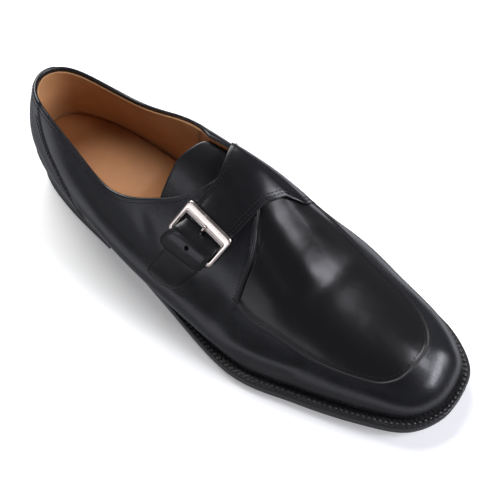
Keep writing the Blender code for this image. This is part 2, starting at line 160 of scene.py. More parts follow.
soleShape = {
    "length": 303.0,
    "outsoleThick": 4.9, "weltThick": 3.8, "insoleThick": 3.0, "gap": 0.3,
    "seatRise": 21.0, "seatSlope": 0.02,
    "waistRun": (85.0, 188.0), "archPower": 1.4,
    "toeRun": (205.0, 305.0), "toeSpring": 7.9,
    "planSteps": 60,
    "plan": np.array([  # x, y round the edge, down the outer side and back up the inner side
        (0.0, 0.0), (9.5, -19.4), (38.5, -30.3), (84.4, -38.3), (133.6, -47.6), (189.6, -56.6),
        (229.8, -48.1), (264.3, -37.8), (289.6, -26.6), (301.4, -9.5), (302.6, 9.7), (296.5, 26.5),
        (275.6, 40.9), (245.1, 48.7), (209.8, 54.0), (170.1, 42.5), (130.3, 30.2), (85.0, 31.6),
        (38.4, 29.2), (9.8, 18.9)]),
    "weltMargin": [(0, 2.0), (40, 2.0), (90, 2.5), (140, 3.5), (190, 5.0), (305, 5.2)],  # x, width
}
soleEdge = closedCurve(soleShape["plan"], soleShape["planSteps"])


def soleUnder(x):
    # flat under the ball, a power curve up the waist, a parabola at the toe, a slight slope under the seat
    s, waist, toe = soleShape, soleShape["waistRun"], soleShape["toeRun"]
    spring = s["toeSpring"] * np.clip((x - toe[0]) / (toe[1] - toe[0]), 0, None) ** 2
    arch = s["seatRise"] * np.clip((waist[1] - x) / (waist[1] - waist[0]), 0, 1) ** s["archPower"]
    return spring + arch + s["seatSlope"] * np.clip(waist[0] - x, 0, None)


def weltTop(x):
    # underside, outsole, gap and welt added up
    return soleUnder(x) + soleShape["outsoleThick"] + soleShape["gap"] + soleShape["weltThick"]


def weltMargin(x):
    # width of the welt outside the feather line, from its table
    return easyCurve(*zip(*soleShape["weltMargin"]), x)


def insetSides(inset):
    # the outline moved in along its normals, split in two sides that run from heel (angle 0) to toe (pi)
    run = np.roll(soleEdge, -1, 0) - np.roll(soleEdge, 1, 0)
    inward = unit(np.column_stack([-run[:, 1], run[:, 0]]))
    edge = soleEdge + inward * np.broadcast_to(inset(soleEdge[:, 0]), len(soleEdge))[:, None]
    edge = np.roll(edge, -int(np.argmin(edge[:, 0])), 0)
    toe = int(np.argmax(edge[:, 0]))
    sides = {-1: edge[:toe + 1], 1: np.concatenate([edge[:1], edge[:toe - 1:-1]])}
    for key, side in sides.items():
        angle = toAngle((side[:, 0] - edge[0, 0]) / (edge[toe, 0] - edge[0, 0]))
        sides[key] = np.maximum.accumulate(angle), side
    return sides


def onSide(sides, side, angle):
    # x and y at an angle, straight between the points of the outer line (side minus) or the inner line
    pick = np.asarray(side) < 0
    xy = [np.where(pick, np.interp(angle, sides[-1][0], sides[-1][1][:, i]),
                   np.interp(angle, sides[1][0], sides[1][1][:, i])) for i in (0, 1)]
    return np.stack(xy, axis=-1)


featherLine = insetSides(weltMargin)
weltCorner = np.array(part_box("midsole")[0][:2]) * perMetre
shoePlace = np.append(weltCorner - soleEdge.min(axis=0), 0)


# The last, over which every soft piece lies

lastShape = {
    "spine": (42.0, 262.0),
    "forepart": (0.5, 0.3),  # along: start and run of the ridge's slope
    "stepPlaces": (0.62, 0.70), "stepHeights": (1.1, 0.5),  # step at the seam of quarter and apron
    "slopeStep": 0.02, "normalStep": 0.008,
    "crownFrom": 0.8,  # place up the section from which the normals point up
    "endBlend": 0.03, "ridgeBlend": 0.02, "levelRun": 0.12,
    "sections": np.array([
        # along, ridge z, ridge y, outer flare, inner flare, wall, outer crown, inner crown
        (0.00, 121.5, -0.4, 2.5, 2.5, 0.46, 0.59, 0.58),
        (0.17, 99.0, 6.5, 25.0, 6.5, 0.25, 0.50, 0.70),
        (0.34, 94.5, 16.5, 33.0, 6.0, 0.20, 0.39, 1.10),
        (0.50, 88.4, 19.0, 21.0, 4.2, 0.29, 0.41, 1.25),
        (0.65, 71.6, 16.0, 4.6, 1.6, 0.40, 0.53, 0.74),
        (0.80, 56.7, 7.3, 3.0, 0.4, 0.50, 0.68, 0.74),
        (0.92, 48.2, 2.7, 1.0, 0.7, 0.52, 0.70, 0.74),
        (1.00, 44.4, 1.8, 0.8, 1.0, 0.46, 0.64, 0.64)]),
}


def ridgeSlope(angle):
    # fall of the ridge for each millimetre forward, brought in over the forepart
    rows, (heel, toe), step = lastShape["sections"], lastShape["spine"], lastShape["slopeStep"]
    ends = [toAlong(np.clip(angle + move, 0, np.pi)) for move in (-step, step)]
    low, high = [stiffCurve(rows[:, 0], rows[:, 1], place) for place in ends]
    return (high - low) / ((ends[1] - ends[0]) * (toe - heel)) * rise(sum(ends) / 2, *lastShape["forepart"])


def lastPoint(angle, side, t):
    # a cubic Bezier for each section, from the feather line (t 0) up the wall and over to the ridge (t 1),
    # which it reaches in the plane of the ridge's slope
    angle, side, t = np.broadcast_arrays(angle, side, t)
    along = toAlong(angle)
    foot = onSide(featherLine, side, angle)
    rows = lastShape["sections"]
    ridgeZ, ridgeY, outFlare, inFlare, wall, outCrown, inCrown = [
        stiffCurve(rows[:, 0], column, along) for column in rows.T[1:]]
    heel, toe = lastShape["spine"]
    ridge = np.stack([heel + (toe - heel) * along, ridgeY], axis=-1)
    reach = foot - ridge
    width = np.linalg.norm(reach, axis=-1)
    footZ = weltTop(foot[..., 0]) + soleShape["gap"]
    b0, b1, b2 = (1 - t) ** 3, 3 * (1 - t) ** 2 * t, 3 * (1 - t) * t ** 2
    crown = np.where(side < 0, outCrown, inCrown)
    out = b0 + b1 * (1 + np.where(side < 0, outFlare, inFlare) / width) + b2 * crown
    z = footZ + (ridgeZ - footZ) * (b1 * wall + b2 + t ** 3) + b2 * crown * ridgeSlope(angle) * reach[..., 0]
    return np.concatenate([ridge + reach * out[..., None], z[..., None]], axis=-1)


def sideNormal(angle, side, t):
    # cross product of a step forward and a step up the section, turned to point up near the ridge
    e = lastShape["normalStep"]
    up = lastPoint(angle, side, np.clip(t + e, 0, 1)) - lastPoint(angle, side, np.clip(t - e, 0, 1))
    fore = lastPoint(np.minimum(angle + e, np.pi), side, t) - lastPoint(np.maximum(angle - e, 0), side, t)
    normal = unit(np.cross(fore, up) * np.asarray(-np.sign(side), float)[..., None])
    return np.where((t > lastShape["crownFrom"])[..., None] & (normal[..., 2:] < 0), -normal, normal)


def lastNormal(angle, side, t):
    # the two sides' normals are mixed close to the ridge, and at the heel and toe where the sides meet
    angle, side, t = np.broadcast_arrays(angle, side, t)
    own = sideNormal(angle, side, t)
    other = sideNormal(angle, -side, t)
    ends = hump(angle / lastShape["endBlend"]) + hump((np.pi - angle) / lastShape["endBlend"])
    share = np.clip(hump((1 - t) / lastShape["ridgeBlend"]) + ends, 0, 1)[..., None] / 2
    return unit(own * (1 - share) + other * share)


def seamHeight(angle):
    # step at the seam, straight between the quarter's and the apron's
    return np.interp(toAlong(angle), lastShape["stepPlaces"], lastShape["stepHeights"])


def skin(angle, side, t, lift):
    # the last moved along its normal, to a lift over the level of apron and tongue; level at the feather line
    normal = lastNormal(angle, side, t)
    flat = smoothStep(np.broadcast_to(t, normal.shape[:-1]) / lastShape["levelRun"])
    normal = unit(normal * np.stack([np.ones_like(flat), np.ones_like(flat), flat], axis=-1))
    return lastPoint(angle, side, t) + normal * np.asarray(lift - seamHeight(angle))[..., None]


def overSkin(along, across, lift):
    # the same by place across: 0 on the ridge, minus 1 at the outer feather line, plus 1 at the inner
    side = np.where(across > 0, 1.0, -1.0)
    return skin(toAngle(along), side, 1 - np.abs(across), lift)


def wallPace(angle, side, low, high):
    # millimetres up the wall for each unit of t, between two places up the section
    return np.linalg.norm(lastPoint(angle, side, high) - lastPoint(angle, side, low), axis=-1) / (high - low)


# Mesh helpers

meshing = {"sharp": 38, "merge": 0.000004, "thin": 0.000002}  # degrees, metres


def gridFaces(columns, rows, wrap=False):
    # quads between neighbours of a grid; `wrap` joins the last column to the first
    i = np.arange(columns if wrap else columns - 1)[:, None]
    j = np.arange(rows - 1)[None, :]
    k = (i + 1) % columns
    return np.stack([i * rows + j, k * rows + j, k * rows + j + 1, i * rows + j + 1], axis=-1).reshape(-1, 4)


def addObject(name, data):
    # an object at the origin, in the scene's own collection
    item = bpy.data.objects.new(name, data)
    bpy.context.collection.objects.link(item)
    return item


def addPiece(name, points, faces, finish, nodes, values=None, sharp=meshing["sharp"]):
    # puts arrays into a mesh, closes its seams, turns its faces outward and lays it on the frame
    mesh = bpy.data.meshes.new(name)
    points = (np.reshape(points, (-1, 3)) + shoePlace) / perMetre
    mesh.from_pydata(points.tolist(), [], np.asarray(faces).tolist())
    for key, value in (values or {}).items():
        store = mesh.attributes.new(key, "FLOAT", "POINT").data
        store.foreach_set("value", np.ravel(value).astype(np.float32))
    work = bmesh.new()
    work.from_mesh(mesh)
    bmesh.ops.remove_doubles(work, verts=work.verts, dist=meshing["merge"])
    bmesh.ops.dissolve_degenerate(work, edges=work.edges, dist=meshing["thin"])
    bmesh.ops.recalc_face_normals(work, faces=work.faces)
    work.to_mesh(mesh)
    work.free()
    mesh.shade_smooth()
    mesh.set_sharp_from_angle(angle=math.radians(sharp))
    piece = addObject(name, mesh)
    mesh.materials.append(finishes[finish])
    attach(piece, "root")
    if nodes:
        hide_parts(*nodes)


def mergeSame(points):
    # points alike to a micron, rounded twice half a step apart so that no pair falls on either side of a step
    kept, shared = np.arange(len(points)), np.arange(len(points))
    for offset in (0.0, 0.0005):
        whole = np.round(points[kept] + offset, 3)
        _, first, group = np.unique(whole, axis=0, return_index=True, return_inverse=True)
        kept, shared = kept[first], np.reshape(group, -1)[shared]
    return kept, shared


def closedShell(outer, inner, faces, values, rings=5, roundness=1.0):
    # solid between two grids, its open edges closed by half-round rims of the wall's own thickness;
    # the attribute "edge" is 1 on the rims, which the strap finish paints near black as painted shade
    outer, inner = np.reshape(outer, (-1, 3)), np.reshape(inner, (-1, 3))
    first, shared = mergeSame(outer)
    top = shared[faces]
    outer, inner = outer[first], inner[first]
    values = {key: np.ravel(value)[first] for key, value in values.items()}
    count = len(first)
    edges = np.concatenate([top[:, [i, (i + 1) % 4]] for i in range(4)])
    edges = edges[edges[:, 0] != edges[:, 1]]
    code = edges[:, 0] * count + edges[:, 1]
    openEdges = edges[~np.isin(code, edges[:, 1] * count + edges[:, 0])]
    rim, spot = np.unique(openEdges, return_inverse=True)
    spot = spot.reshape(openEdges.shape)
    thick = outer[rim] - inner[rim]
    run = outer[openEdges[:, 1]] - outer[openEdges[:, 0]]
    side = np.cross(run, thick[spot[:, 0]])
    away = np.zeros((len(rim), 3))
    np.add.at(away, spot[:, 0], side)
    np.add.at(away, spot[:, 1], side)
    away = away / np.maximum(np.linalg.norm(away, axis=1, keepdims=True), 1e-9)
    half = np.linalg.norm(thick, axis=1)[:, None] / 2 * roundness
    turn = np.pi * np.arange(1, rings + 1) / (rings + 1)
    loops = [outer[rim] - thick * (1 - math.cos(a)) / 2 + away * half * math.sin(a) for a in turn]
    points = np.concatenate([outer, inner] + loops)
    starts = [rim[spot]] + [2 * count + i * len(rim) + spot for i in range(rings)] + [rim[spot] + count]
    walls = [np.stack([low[:, 1], low[:, 0], high[:, 0], high[:, 1]], axis=1)
             for low, high in zip(starts, starts[1:])]
    faces = np.concatenate([top, top[:, ::-1] + count] + walls)
    near = values.pop("edge", np.zeros(count))
    values = {key: np.concatenate([v, v] + [v[rim]] * rings) for key, v in values.items()}
    values["edge"] = np.concatenate([near, near, np.ones(len(rim) * rings)])
    return points, faces, values


# Materials

def feed(tree, node, values):
    # each input is linked where its value is another node's output, and set where it is a constant
    for key, value in values.items():
        if isinstance(value, bpy.types.NodeSocket):
            tree.links.new(value, node.inputs[key])
        else:
            node.inputs[key].default_value = value


def addNode(tree, kind, inputs=None, **settings):
    # settings first, because they decide which inputs a node shows
    node = tree.nodes.new(kind)
    for key, value in settings.items():
        setattr(node, key, value)
    feed(tree, node, inputs or {})
    return node


def mapRange(tree, value, low=(0.0, 1.0), high=(0.0, 1.0), curve="LINEAR"):
    # brings what lies between the two values of `low` to between the two of `high`
    ends = dict(zip(("From Min", "From Max", "To Min", "To Max"), (*low, *high)))
    node = addNode(tree, "ShaderNodeMapRange", {"Value": value, **ends}, interpolation_type=curve)
    return node.outputs["Result"]


def mixBy(tree, kind, factor, first, second):
    # the first where the factor is 0, the second where it is 1
    inputs = {"Factor": factor, "A": first, "B": second}
    return addNode(tree, "ShaderNodeMix", inputs, data_type=kind).outputs["Result"]


grainShape = {
    "inputs": {"Scale": 900.0, "Pores": 0.4, "Patch": 40.0},
    "wallWidth": 0.25,
    "fine": {"Detail": 4.0, "Roughness": 0.6},
    "patch": {"Detail": 5.0, "Roughness": 0.65},
    "sway": {"Detail": 2.0, "Roughness": 0.45}, "swayScale": 95.0, "swayDepth": 0.002,
    "rubbed": (0.3, 0.7),
}


def makeGrain():
    # pebbled skin: cell walls sunk into a soft noise, a mask of rubbed patches and a slow sway of the surface
    tree = bpy.data.node_groups.new("skinGrain", "ShaderNodeTree")
    for key, value in grainShape["inputs"].items():
        tree.interface.new_socket(key, in_out="INPUT", socket_type="NodeSocketFloat").default_value = value
    for key in ("Height", "Rubbed", "Sway"):
        tree.interface.new_socket(key, in_out="OUTPUT", socket_type="NodeSocketFloat")
    given = addNode(tree, "NodeGroupInput").outputs
    place = addNode(tree, "ShaderNodeTexCoord").outputs["Object"]
    cells = addNode(tree, "ShaderNodeTexVoronoi", {"Vector": place, "Scale": given["Scale"]},
                    feature="DISTANCE_TO_EDGE")
    walls = mapRange(tree, cells.outputs["Distance"], (0.0, grainShape["wallWidth"]), curve="SMOOTHSTEP")
    sizes = {"fine": given["Scale"], "patch": given["Patch"], "sway": grainShape["swayScale"]}
    noises = [addNode(tree, "ShaderNodeTexNoise", {"Vector": place, "Scale": size, **grainShape[key]})
              for key, size in sizes.items()]
    fine, patch, sway = [noise.outputs["Fac"] for noise in noises]
    weighed = addNode(tree, "ShaderNodeMath", {0: walls, 1: given["Pores"]}, operation="MULTIPLY")
    height = addNode(tree, "ShaderNodeMath", {0: weighed.outputs[0], 1: fine}, operation="ADD")
    addNode(tree, "NodeGroupOutput", {"Height": height.outputs[0], "Rubbed": patch, "Sway": sway})
    return tree


def makeMaterial(name, look):
    # colour varies between two tones by rubbed patches, roughness likewise, grain goes to the bump
    item = bpy.data.materials.new(name)
    item.use_nodes = True
    tree = item.node_tree
    grain = addNode(tree, "ShaderNodeGroup", look["grain"], node_tree=skinGrain).outputs
    rubbed = mapRange(tree, grain["Rubbed"], grainShape["rubbed"])
    dark, light = [(*tone, 1) for tone in look["colours"]]
    colour = mixBy(tree, "RGBA", rubbed, dark, light)
    rough = mapRange(tree, rubbed, high=look["roughness"])
    for key, tint, dull in look.get("zones", []):
        # a zone is an attribute of the mesh: where it is 1 the tint and roughness take over
        mask = addNode(tree, "ShaderNodeAttribute", attribute_name=key).outputs["Fac"]
        colour = mixBy(tree, "RGBA", mask, colour, (*tint, 1))
        rough = mixBy(tree, "FLOAT", mask, rough, dull)
    normal = None
    bumps = (("Sway", look.get("sway", 0.0), grainShape["swayDepth"]), ("Height", *look["bump"]))
    for key, strength, depth in bumps:
        inputs = {"Height": grain[key], "Strength": strength, "Distance": depth}
        if normal:
            inputs["Normal"] = normal
        normal = addNode(tree, "ShaderNodeBump", inputs).outputs["Normal"]
    feed(tree, tree.nodes["Principled BSDF"],
         {"Base Color": colour, "Roughness": rough, "Normal": normal, **look.get("set", {})})
    return item


skinGrain = makeGrain()

calfGrain = {"Scale": 1500.0, "Pores": 0.35, "Patch": 45.0}
edgeGrain = {"Scale": 700.0, "Pores": 0.2, "Patch": 60.0}
threadGrain = {"Scale": 4000.0, "Pores": 0.2, "Patch": 200.0}
calfGloss = {"Specular IOR Level": 0.36, "Coat Weight": 0.06, "Coat Roughness": 0.12}
looks = {
    "blackCalf": {
        "colours": ((0.0070, 0.0072, 0.0090), (0.0105, 0.0107, 0.0130)), "roughness": (0.22, 0.30),
        "grain": calfGrain, "bump": (0.05, 0.0004), "sway": 0.09, "set": calfGloss,
        "zones": [("apron", (0.0072, 0.0066, 0.0070), 0.27), ("cut", (0.004, 0.004, 0.0045), 0.6)]},
    "strapCalf": {
        "colours": ((0.0070, 0.0069, 0.0082), (0.0105, 0.0102, 0.0118)), "roughness": (0.21, 0.28),
        "grain": calfGrain, "bump": (0.05, 0.0004), "sway": 0.09, "set": calfGloss,
        # the hole and edge zones are painted shade: near black inside the sunk holes, on the rims and along
        # the band of a free end
        "zones": [("holeShade", (0.003, 0.003, 0.003), 0.8), ("edge", (0.003, 0.003, 0.0032), 0.75)]},
    "liningCalf": {
        "colours": ((0.52, 0.265, 0.115), (0.60, 0.325, 0.15)), "roughness": (0.55, 0.65),
        "grain": {"Scale": 1100.0, "Pores": 0.3, "Patch": 30.0}, "bump": (0.12, 0.0004),
        "zones": [("seam", (0.16, 0.075, 0.035), 0.75)]},
    "sockCalf": {
        "colours": ((0.33, 0.140, 0.050), (0.41, 0.185, 0.070)), "roughness": (0.5, 0.62),
        "grain": {"Scale": 1000.0, "Pores": 0.3, "Patch": 28.0}, "bump": (0.12, 0.0004),
        "set": {"Specular IOR Level": 0.25}},
    "soleEdge": {
        "colours": ((0.028, 0.028, 0.029), (0.042, 0.042, 0.043)), "roughness": (0.36, 0.46),
        "grain": edgeGrain, "bump": (0.15, 0.0004)},
    "edgeDressing": {
        "colours": ((0.005, 0.005, 0.006), (0.010, 0.010, 0.011)), "roughness": (0.38, 0.5),
        "grain": edgeGrain, "bump": (0.15, 0.0004)},
    "heelRubber": {
        "colours": ((0.012, 0.012, 0.012), (0.02, 0.02, 0.02)), "roughness": (0.6, 0.75),
        "grain": {"Scale": 1200.0, "Pores": 0.1, "Patch": 60.0}, "bump": (0.2, 0.0003)},
    "waxedThread": {
        "colours": ((0.004, 0.004, 0.005), (0.007, 0.007, 0.008)), "roughness": (0.45, 0.6),
        "grain": threadGrain, "bump": (0.2, 0.0002), "set": {"Specular IOR Level": 0.25}},
    # the welt thread is lighter than the black seam thread: partly its own dark grey tone, partly a painted
    # highlight for the glints on its stitches
    "weltThread": {
        "colours": ((0.04, 0.04, 0.042), (0.07, 0.07, 0.072)), "roughness": (0.3, 0.45),
        "grain": threadGrain, "bump": (0.2, 0.0002)},
    "buckleSilver": {
        "colours": ((0.72, 0.63, 0.57), (0.80, 0.71, 0.65)), "roughness": (0.18, 0.28),
        "grain": {"Scale": 2500.0, "Pores": 0.0, "Patch": 150.0}, "bump": (0.05, 0.0002),
        "set": {"Metallic": 1.0}},
}
finishes = {name: makeMaterial(name, look) for name, look in looks.items()}
print("finishes made:", len(finishes))


# Upper: quarters, toe wall and apron in one skin, with its lining

upperShape = {
    "columns": 300, "rows": (30, 7, 28),  # rows below the seam, on its edge and above
    "crowd": (6, 0.592, 0.026),  # columns where the quarter edge turns down: how dense, where, half width
    "turnSteps": 2000,
    "throat": 0.47, "throatClear": 0.004, "throatStep": 0.001,
    "rowsFrom": 0.25, "rowShare": 0.6,  # behind this place the seam's rows lie at a share of the wall
    "edgeHalf": 0.0078, "edgeWidth": 0.7,
    "leatherDown": -0.9,
    "rimRounds": 30, "rimShut": 0.985,  # place up the section past which the rim is on the ridge
    "allProud": (0.50, -0.03), "beadFrom": (0.53, 0.03), "quarterTo": (0.63, -0.02),  # along: start and run
    "quarterEnd": (0.44, 0.60), "quarterRun": -0.03,  # where its front edge stops, outer and inner side
    "bead": (-1.0, 0.8, 0.06, 0.4),  # place from the seam, half width, height on the apron and the quarter
    "groove": (0.75, 0.55, 0.2, 0.5),
    "cutFrom": (0.50, 0.03), "creaseClear": 3, "gapStep": 0.004,
    "counterStep": 0.6, "counterBlend": 1.8,
    "collar": np.array([  # along, minus on the outer side, and height of the rim
        (-0.47, 92.0), (-0.43, 81.3), (-0.37, 72.8), (-0.32, 67.8), (-0.27, 66.6), (-0.22, 69.0),
        (-0.15, 74.6), (-0.08, 79.6), (0.00, 82.6), (0.05, 76.8), (0.10, 71.4), (0.15, 69.0),
        (0.20, 70.2), (0.25, 76.0), (0.31, 86.5), (0.36, 95.0), (0.41, 103.0)]),
    "seam": np.array([  # along, place up the section of quarter edge and apron seam, outer and inner side
        (0.47, 0.62, 0.64), (0.51, 0.74, 0.80), (0.55, 0.86, 0.94), (0.58, 0.755, 0.72), (0.60, 0.64, 0.63),
        (0.612, 0.45, 0.60), (0.65, 0.432, 0.655), (0.70, 0.44, 0.69), (0.76, 0.424, 0.685),
        (0.81, 0.434, 0.65), (0.865, 0.453, 0.641), (0.907, 0.478, 0.648), (0.948, 0.572, 0.675),
        (0.982, 0.70, 0.73), (1.0, 0.77, 0.77)]),
    "counter": np.array([  # height, x of the heel counter's seam on the outer and inner side
        (30, 80, 70), (37, 76, 66), (42, 71, 62), (47, 63, 57), (53, 52, 45), (57, 44.5, 27), (61, 37.4, 16),
        (69, 28.6, 12), (78, 24, 11), (85, 23, 11)]),
}
liningShape = {
    "columns": 240, "rows": (16, 2, 14), "drop": 0.016, "levels": (-1.0, -2.0), "rimRings": 3,
    "seam": (0.36, 0.355), "seamHalf": 0.0035, "seamHeight": 0.25,  # along, outer and inner side
}
creaseShape = {
    "top": np.array([  # start x, y, end x, y, half width, height: ridges plus, troughs minus
        (168, -4, 206, -16, 5.6, -0.9), (168, 6, 209, -5, 6.5, 0.45), (170, -15, 200, -25, 6.0, 0.5),
        (207, 25, 202, -8, 8.0, 0.5), (220, 26, 213, -15, 5.2, -0.45), (196, 27, 190, 15, 3.6, -0.2)]),
    "outerWall": np.array([  # the same in x and z on the outer quarter
        (126, 55, 154, 48, 5.0, 0.5), (132, 48, 152, 43, 4.0, -0.45), (136, 41, 156, 36, 4.5, 0.45),
        (106, 67, 120, 57, 2.6, -0.3), (111, 71, 124, 62, 2.4, 0.25), (160, 50, 176, 40, 5.0, -0.4),
        (168, 38, 176, 24, 5.0, -0.35), (184, 28, 222, 29, 5.0, 0.4), (190, 21, 226, 22, 4.0, -0.3)]),
    "innerWall": np.array([
        (128, 52, 152, 46, 5.0, 0.3), (134, 44, 154, 38, 4.5, -0.25), (196, 34, 206, 26, 4.0, -0.2)]),
    "ends": 12.0,  # length over which a crease dies away
    "topFrom": (0.45, 0.15),  # place up the section where the wall's creases give way to the top's
}


def collarT(angle, side):
    # place up the section where the wall reaches the rim's height, by halving
    rows = upperShape["collar"]
    knots = np.sign(rows[:, 0]) * toAngle(np.abs(rows[:, 0]))
    height = stiffCurve(knots, rows[:, 1], np.clip(angle * side, knots[0], knots[-1]))
    t = halved(lambda middle: lastPoint(angle, side, middle)[..., 2] < height,
               np.zeros_like(height), np.ones_like(height), upperShape["rimRounds"])
    return np.where(t > upperShape["rimShut"], 1.0, t)


def seamT(angle, side):
    # place up the section of the quarter edge and apron seam, from their table
    return sideCurve(upperShape["seam"], side, toAlong(angle))


def counterX(z, side):
    # x of the heel counter's seam, from its table
    return sideCurve(upperShape["counter"], side, z)


def creaseLift(point, side, t):
    # each crease is a bell across its line, faded out at both ends; wall lines are read in x and z
    lift, ends = np.zeros(point.shape[:-1]), creaseShape["ends"]
    onTop = rise(t, *creaseShape["topFrom"])
    shares = {"top": onTop, "outerWall": (1 - onTop) * (side < 0), "innerWall": (1 - onTop) * (side > 0)}
    for key, share in shares.items():
        height = point[..., 1] if key == "top" else point[..., 2]
        for x0, y0, x1, y1, half, size in creaseShape[key]:
            length = math.hypot(x1 - x0, y1 - y0)
            ax, ay = (x1 - x0) / length, (y1 - y0) / length
            dx, dy = point[..., 0] - x0, height - y0
            far = dx * ax + dy * ay
            fade = passing(far, ends) * passing(length - far, ends)
            lift = lift + size * hump((dx * ay - dy * ax) / half) * fade * share
    return lift


def seamGap(angle, side, t):
    # millimetres from the seam, square to it: plus on the apron, minus on quarter and toe wall
    e = upperShape["gapStep"]
    before, after = np.maximum(angle - e, 0), np.minimum(angle + e, np.pi)
    fore = np.linalg.norm(lastPoint(after, side, t) - lastPoint(before, side, t), axis=-1) / (after - before)
    up = wallPace(angle, side, t - e, t + e)
    lean = (seamT(after, side) - seamT(before, side)) / (after - before)
    return (t - seamT(angle, side)) * up / np.sqrt(1 + np.square(lean * up / fore))


def upperLift(angle, side, t):
    # quarters and toe wall stand over the apron by the seam's height with a bead at their edge and a groove
    # beside it, and the counter stands over the quarters; the second result is the share of apron
    u, along = upperShape, toAlong(angle)
    gap = seamGap(angle, side, t)
    proud = np.maximum(passing(-gap, u["edgeWidth"]), rise(along, *u["allProud"]))
    ahead = rise(along, *u["beadFrom"])
    quarter = ahead * rise(along, *u["quarterTo"])
    ahead = ahead * (1 - quarter * rise(t, np.where(side < 0, *u["quarterEnd"]), u["quarterRun"]))
    bead, groove = [(low * (1 - quarter) + high * quarter) * hump((gap - place) / half) * ahead
                    for place, half, low, high in (u["bead"], u["groove"])]
    point = lastPoint(angle, side, t)
    heel = passing(counterX(point[..., 2], side) - point[..., 0], u["counterBlend"])
    crease = creaseLift(point, side, t) * np.clip(np.abs(gap) / u["creaseClear"], 0, 1)
    return seamHeight(angle) * proud + bead - groove + crease + u["counterStep"] * heel, 1 - proud


def upperGrid(columns, rows, drop=0.0):
    # columns crowd where the quarter edge turns down; rows keep to both sides of the seam
    u, (lowRows, edgeRows, highRows) = upperShape, rows
    more, where, width = u["crowd"]
    turn = np.linspace(0, np.pi, u["turnSteps"])
    density = 1 + more * hump((toAlong(turn) - where) / width)
    travel = np.concatenate([[0], np.cumsum(density[1:] + density[:-1])])
    angle = np.interp(np.linspace(0, travel[-1], columns), travel, turn)
    throat = toAngle(u["throat"])
    clear = angle[np.abs(angle - throat) > u["throatClear"]]
    angle = np.sort(np.concatenate([clear, [throat - u["throatStep"], throat]]))
    count = len(angle)
    side = np.concatenate([-np.ones(count), np.ones(count - 2)])[:, None]
    angle = np.concatenate([angle, angle[-2:0:-1]])[:, None]
    shut = toAlong(angle) >= u["throat"] - 1e-6
    top = np.where(shut, 1.0, collarT(angle, side) - drop)
    blend = rise(toAlong(angle), u["rowsFrom"], u["throat"] - u["rowsFrom"])
    atThroat = seamT(np.full_like(angle, throat), side)
    seam = np.where(shut, seamT(angle, side), u["rowShare"] * top * (1 - blend) + atThroat * blend)
    half = u["edgeHalf"]
    below = (seam - half) * np.sin(np.linspace(0, np.pi / 2, lowRows))[None]
    edge = seam + half * np.linspace(-1, 1, edgeRows + 2)[None, 1:-1]
    above = seam + half + (top - seam - half) * np.linspace(0, 1, highRows)[None]
    t = np.concatenate([below, edge, above], axis=1)
    return np.broadcast_to(angle, t.shape), np.broadcast_to(side, t.shape), t


def makeUpper():
    # leather and lining: a grid over the last, each closed between its outer and inner level
    u, inside = upperShape, liningShape
    angle, side, t = upperGrid(u["columns"], u["rows"])
    lift, apron = upperLift(angle, side, t)
    apron = np.where(toAlong(angle) > u["throat"], apron, 0)
    cut = hump(seamGap(angle, side, t) / u["edgeWidth"]) * rise(toAlong(angle), *u["cutFrom"])
    outer, inner = [skin(angle, side, t, level) for level in (lift, u["leatherDown"])]
    faces = gridFaces(*t.shape, wrap=True)
    points, faces, values = closedShell(outer, inner, faces, {"apron": apron, "cut": cut})
    addPiece("upperSkin", points, faces, "blackCalf", ["upper"], values)
    angle, side, t = upperGrid(inside["columns"], inside["rows"], inside["drop"])
    seam = hump((toAlong(angle) - np.where(side < 0, *inside["seam"])) / inside["seamHalf"])
    high, low = inside["levels"]
    outer, inner = [skin(angle, side, t, level) for level in (high, low + inside["seamHeight"] * seam)]
    faces = gridFaces(*t.shape, wrap=True)
    points, faces, values = closedShell(outer, inner, faces, {"seam": seam}, inside["rimRings"])
    addPiece("upperLining", points, faces, "liningCalf", ["upper"], values)


makeUpper()
print("upper made")


# Sole pieces: a profile carried round the outline

def outlineLoop(inset, count, lastX=None):
    # points of the inset outline at even angles, heel to toe, on the outer and on the inner side
    sides = insetSides(inset)
    ends = sides[-1][1][[0, -1], 0]
    last = np.pi if lastX is None else toAngle((lastX - ends[0]) / (ends[1] - ends[0]))
    angle = np.linspace(0, last, count)
    return np.stack([onSide(sides, side, angle) for side in (-1.0, 1.0)])


def soleSolid(profile, count, lastX=None, carve=None):
    # rows of the profile are (inset, level), from the middle of the top, round the edge, to the middle below
    loops = []
    for inset, level in profile:
        edge = outlineLoop(inset if callable(inset) else (lambda x, v=inset: v), count, lastX)
        loops.append(np.concatenate([edge, level(edge[..., 0])[..., None]], axis=-1))
    points = np.stack(loops, axis=2)
    if carve is not None:
        points = carve(points)
    rows = len(profile)
    half = count * rows  # points of one side
    sheet = gridFaces(count, rows)
    i = np.arange(count - 1)
    caps = []
    for row in (0, rows - 1):
        a, b = i * rows + row, (i + 1) * rows + row
        caps.append(np.stack([a, b, b + half, a + half], axis=1))
    faces = [sheet, sheet[:, ::-1] + half] + caps
    if lastX is not None:
        a = (count - 1) * rows + np.arange(rows - 1)
        faces.append(np.stack([a, a + 1, a + 1 + half, a + half], axis=1))
    return points, np.concatenate(faces)


def overSole(value):
    # level at a height over the sole's underside
    return lambda x: soleUnder(x) + value


def flatLevel(value):
    # the same height over the floor everywhere
    return lambda x: np.full_like(x, value)


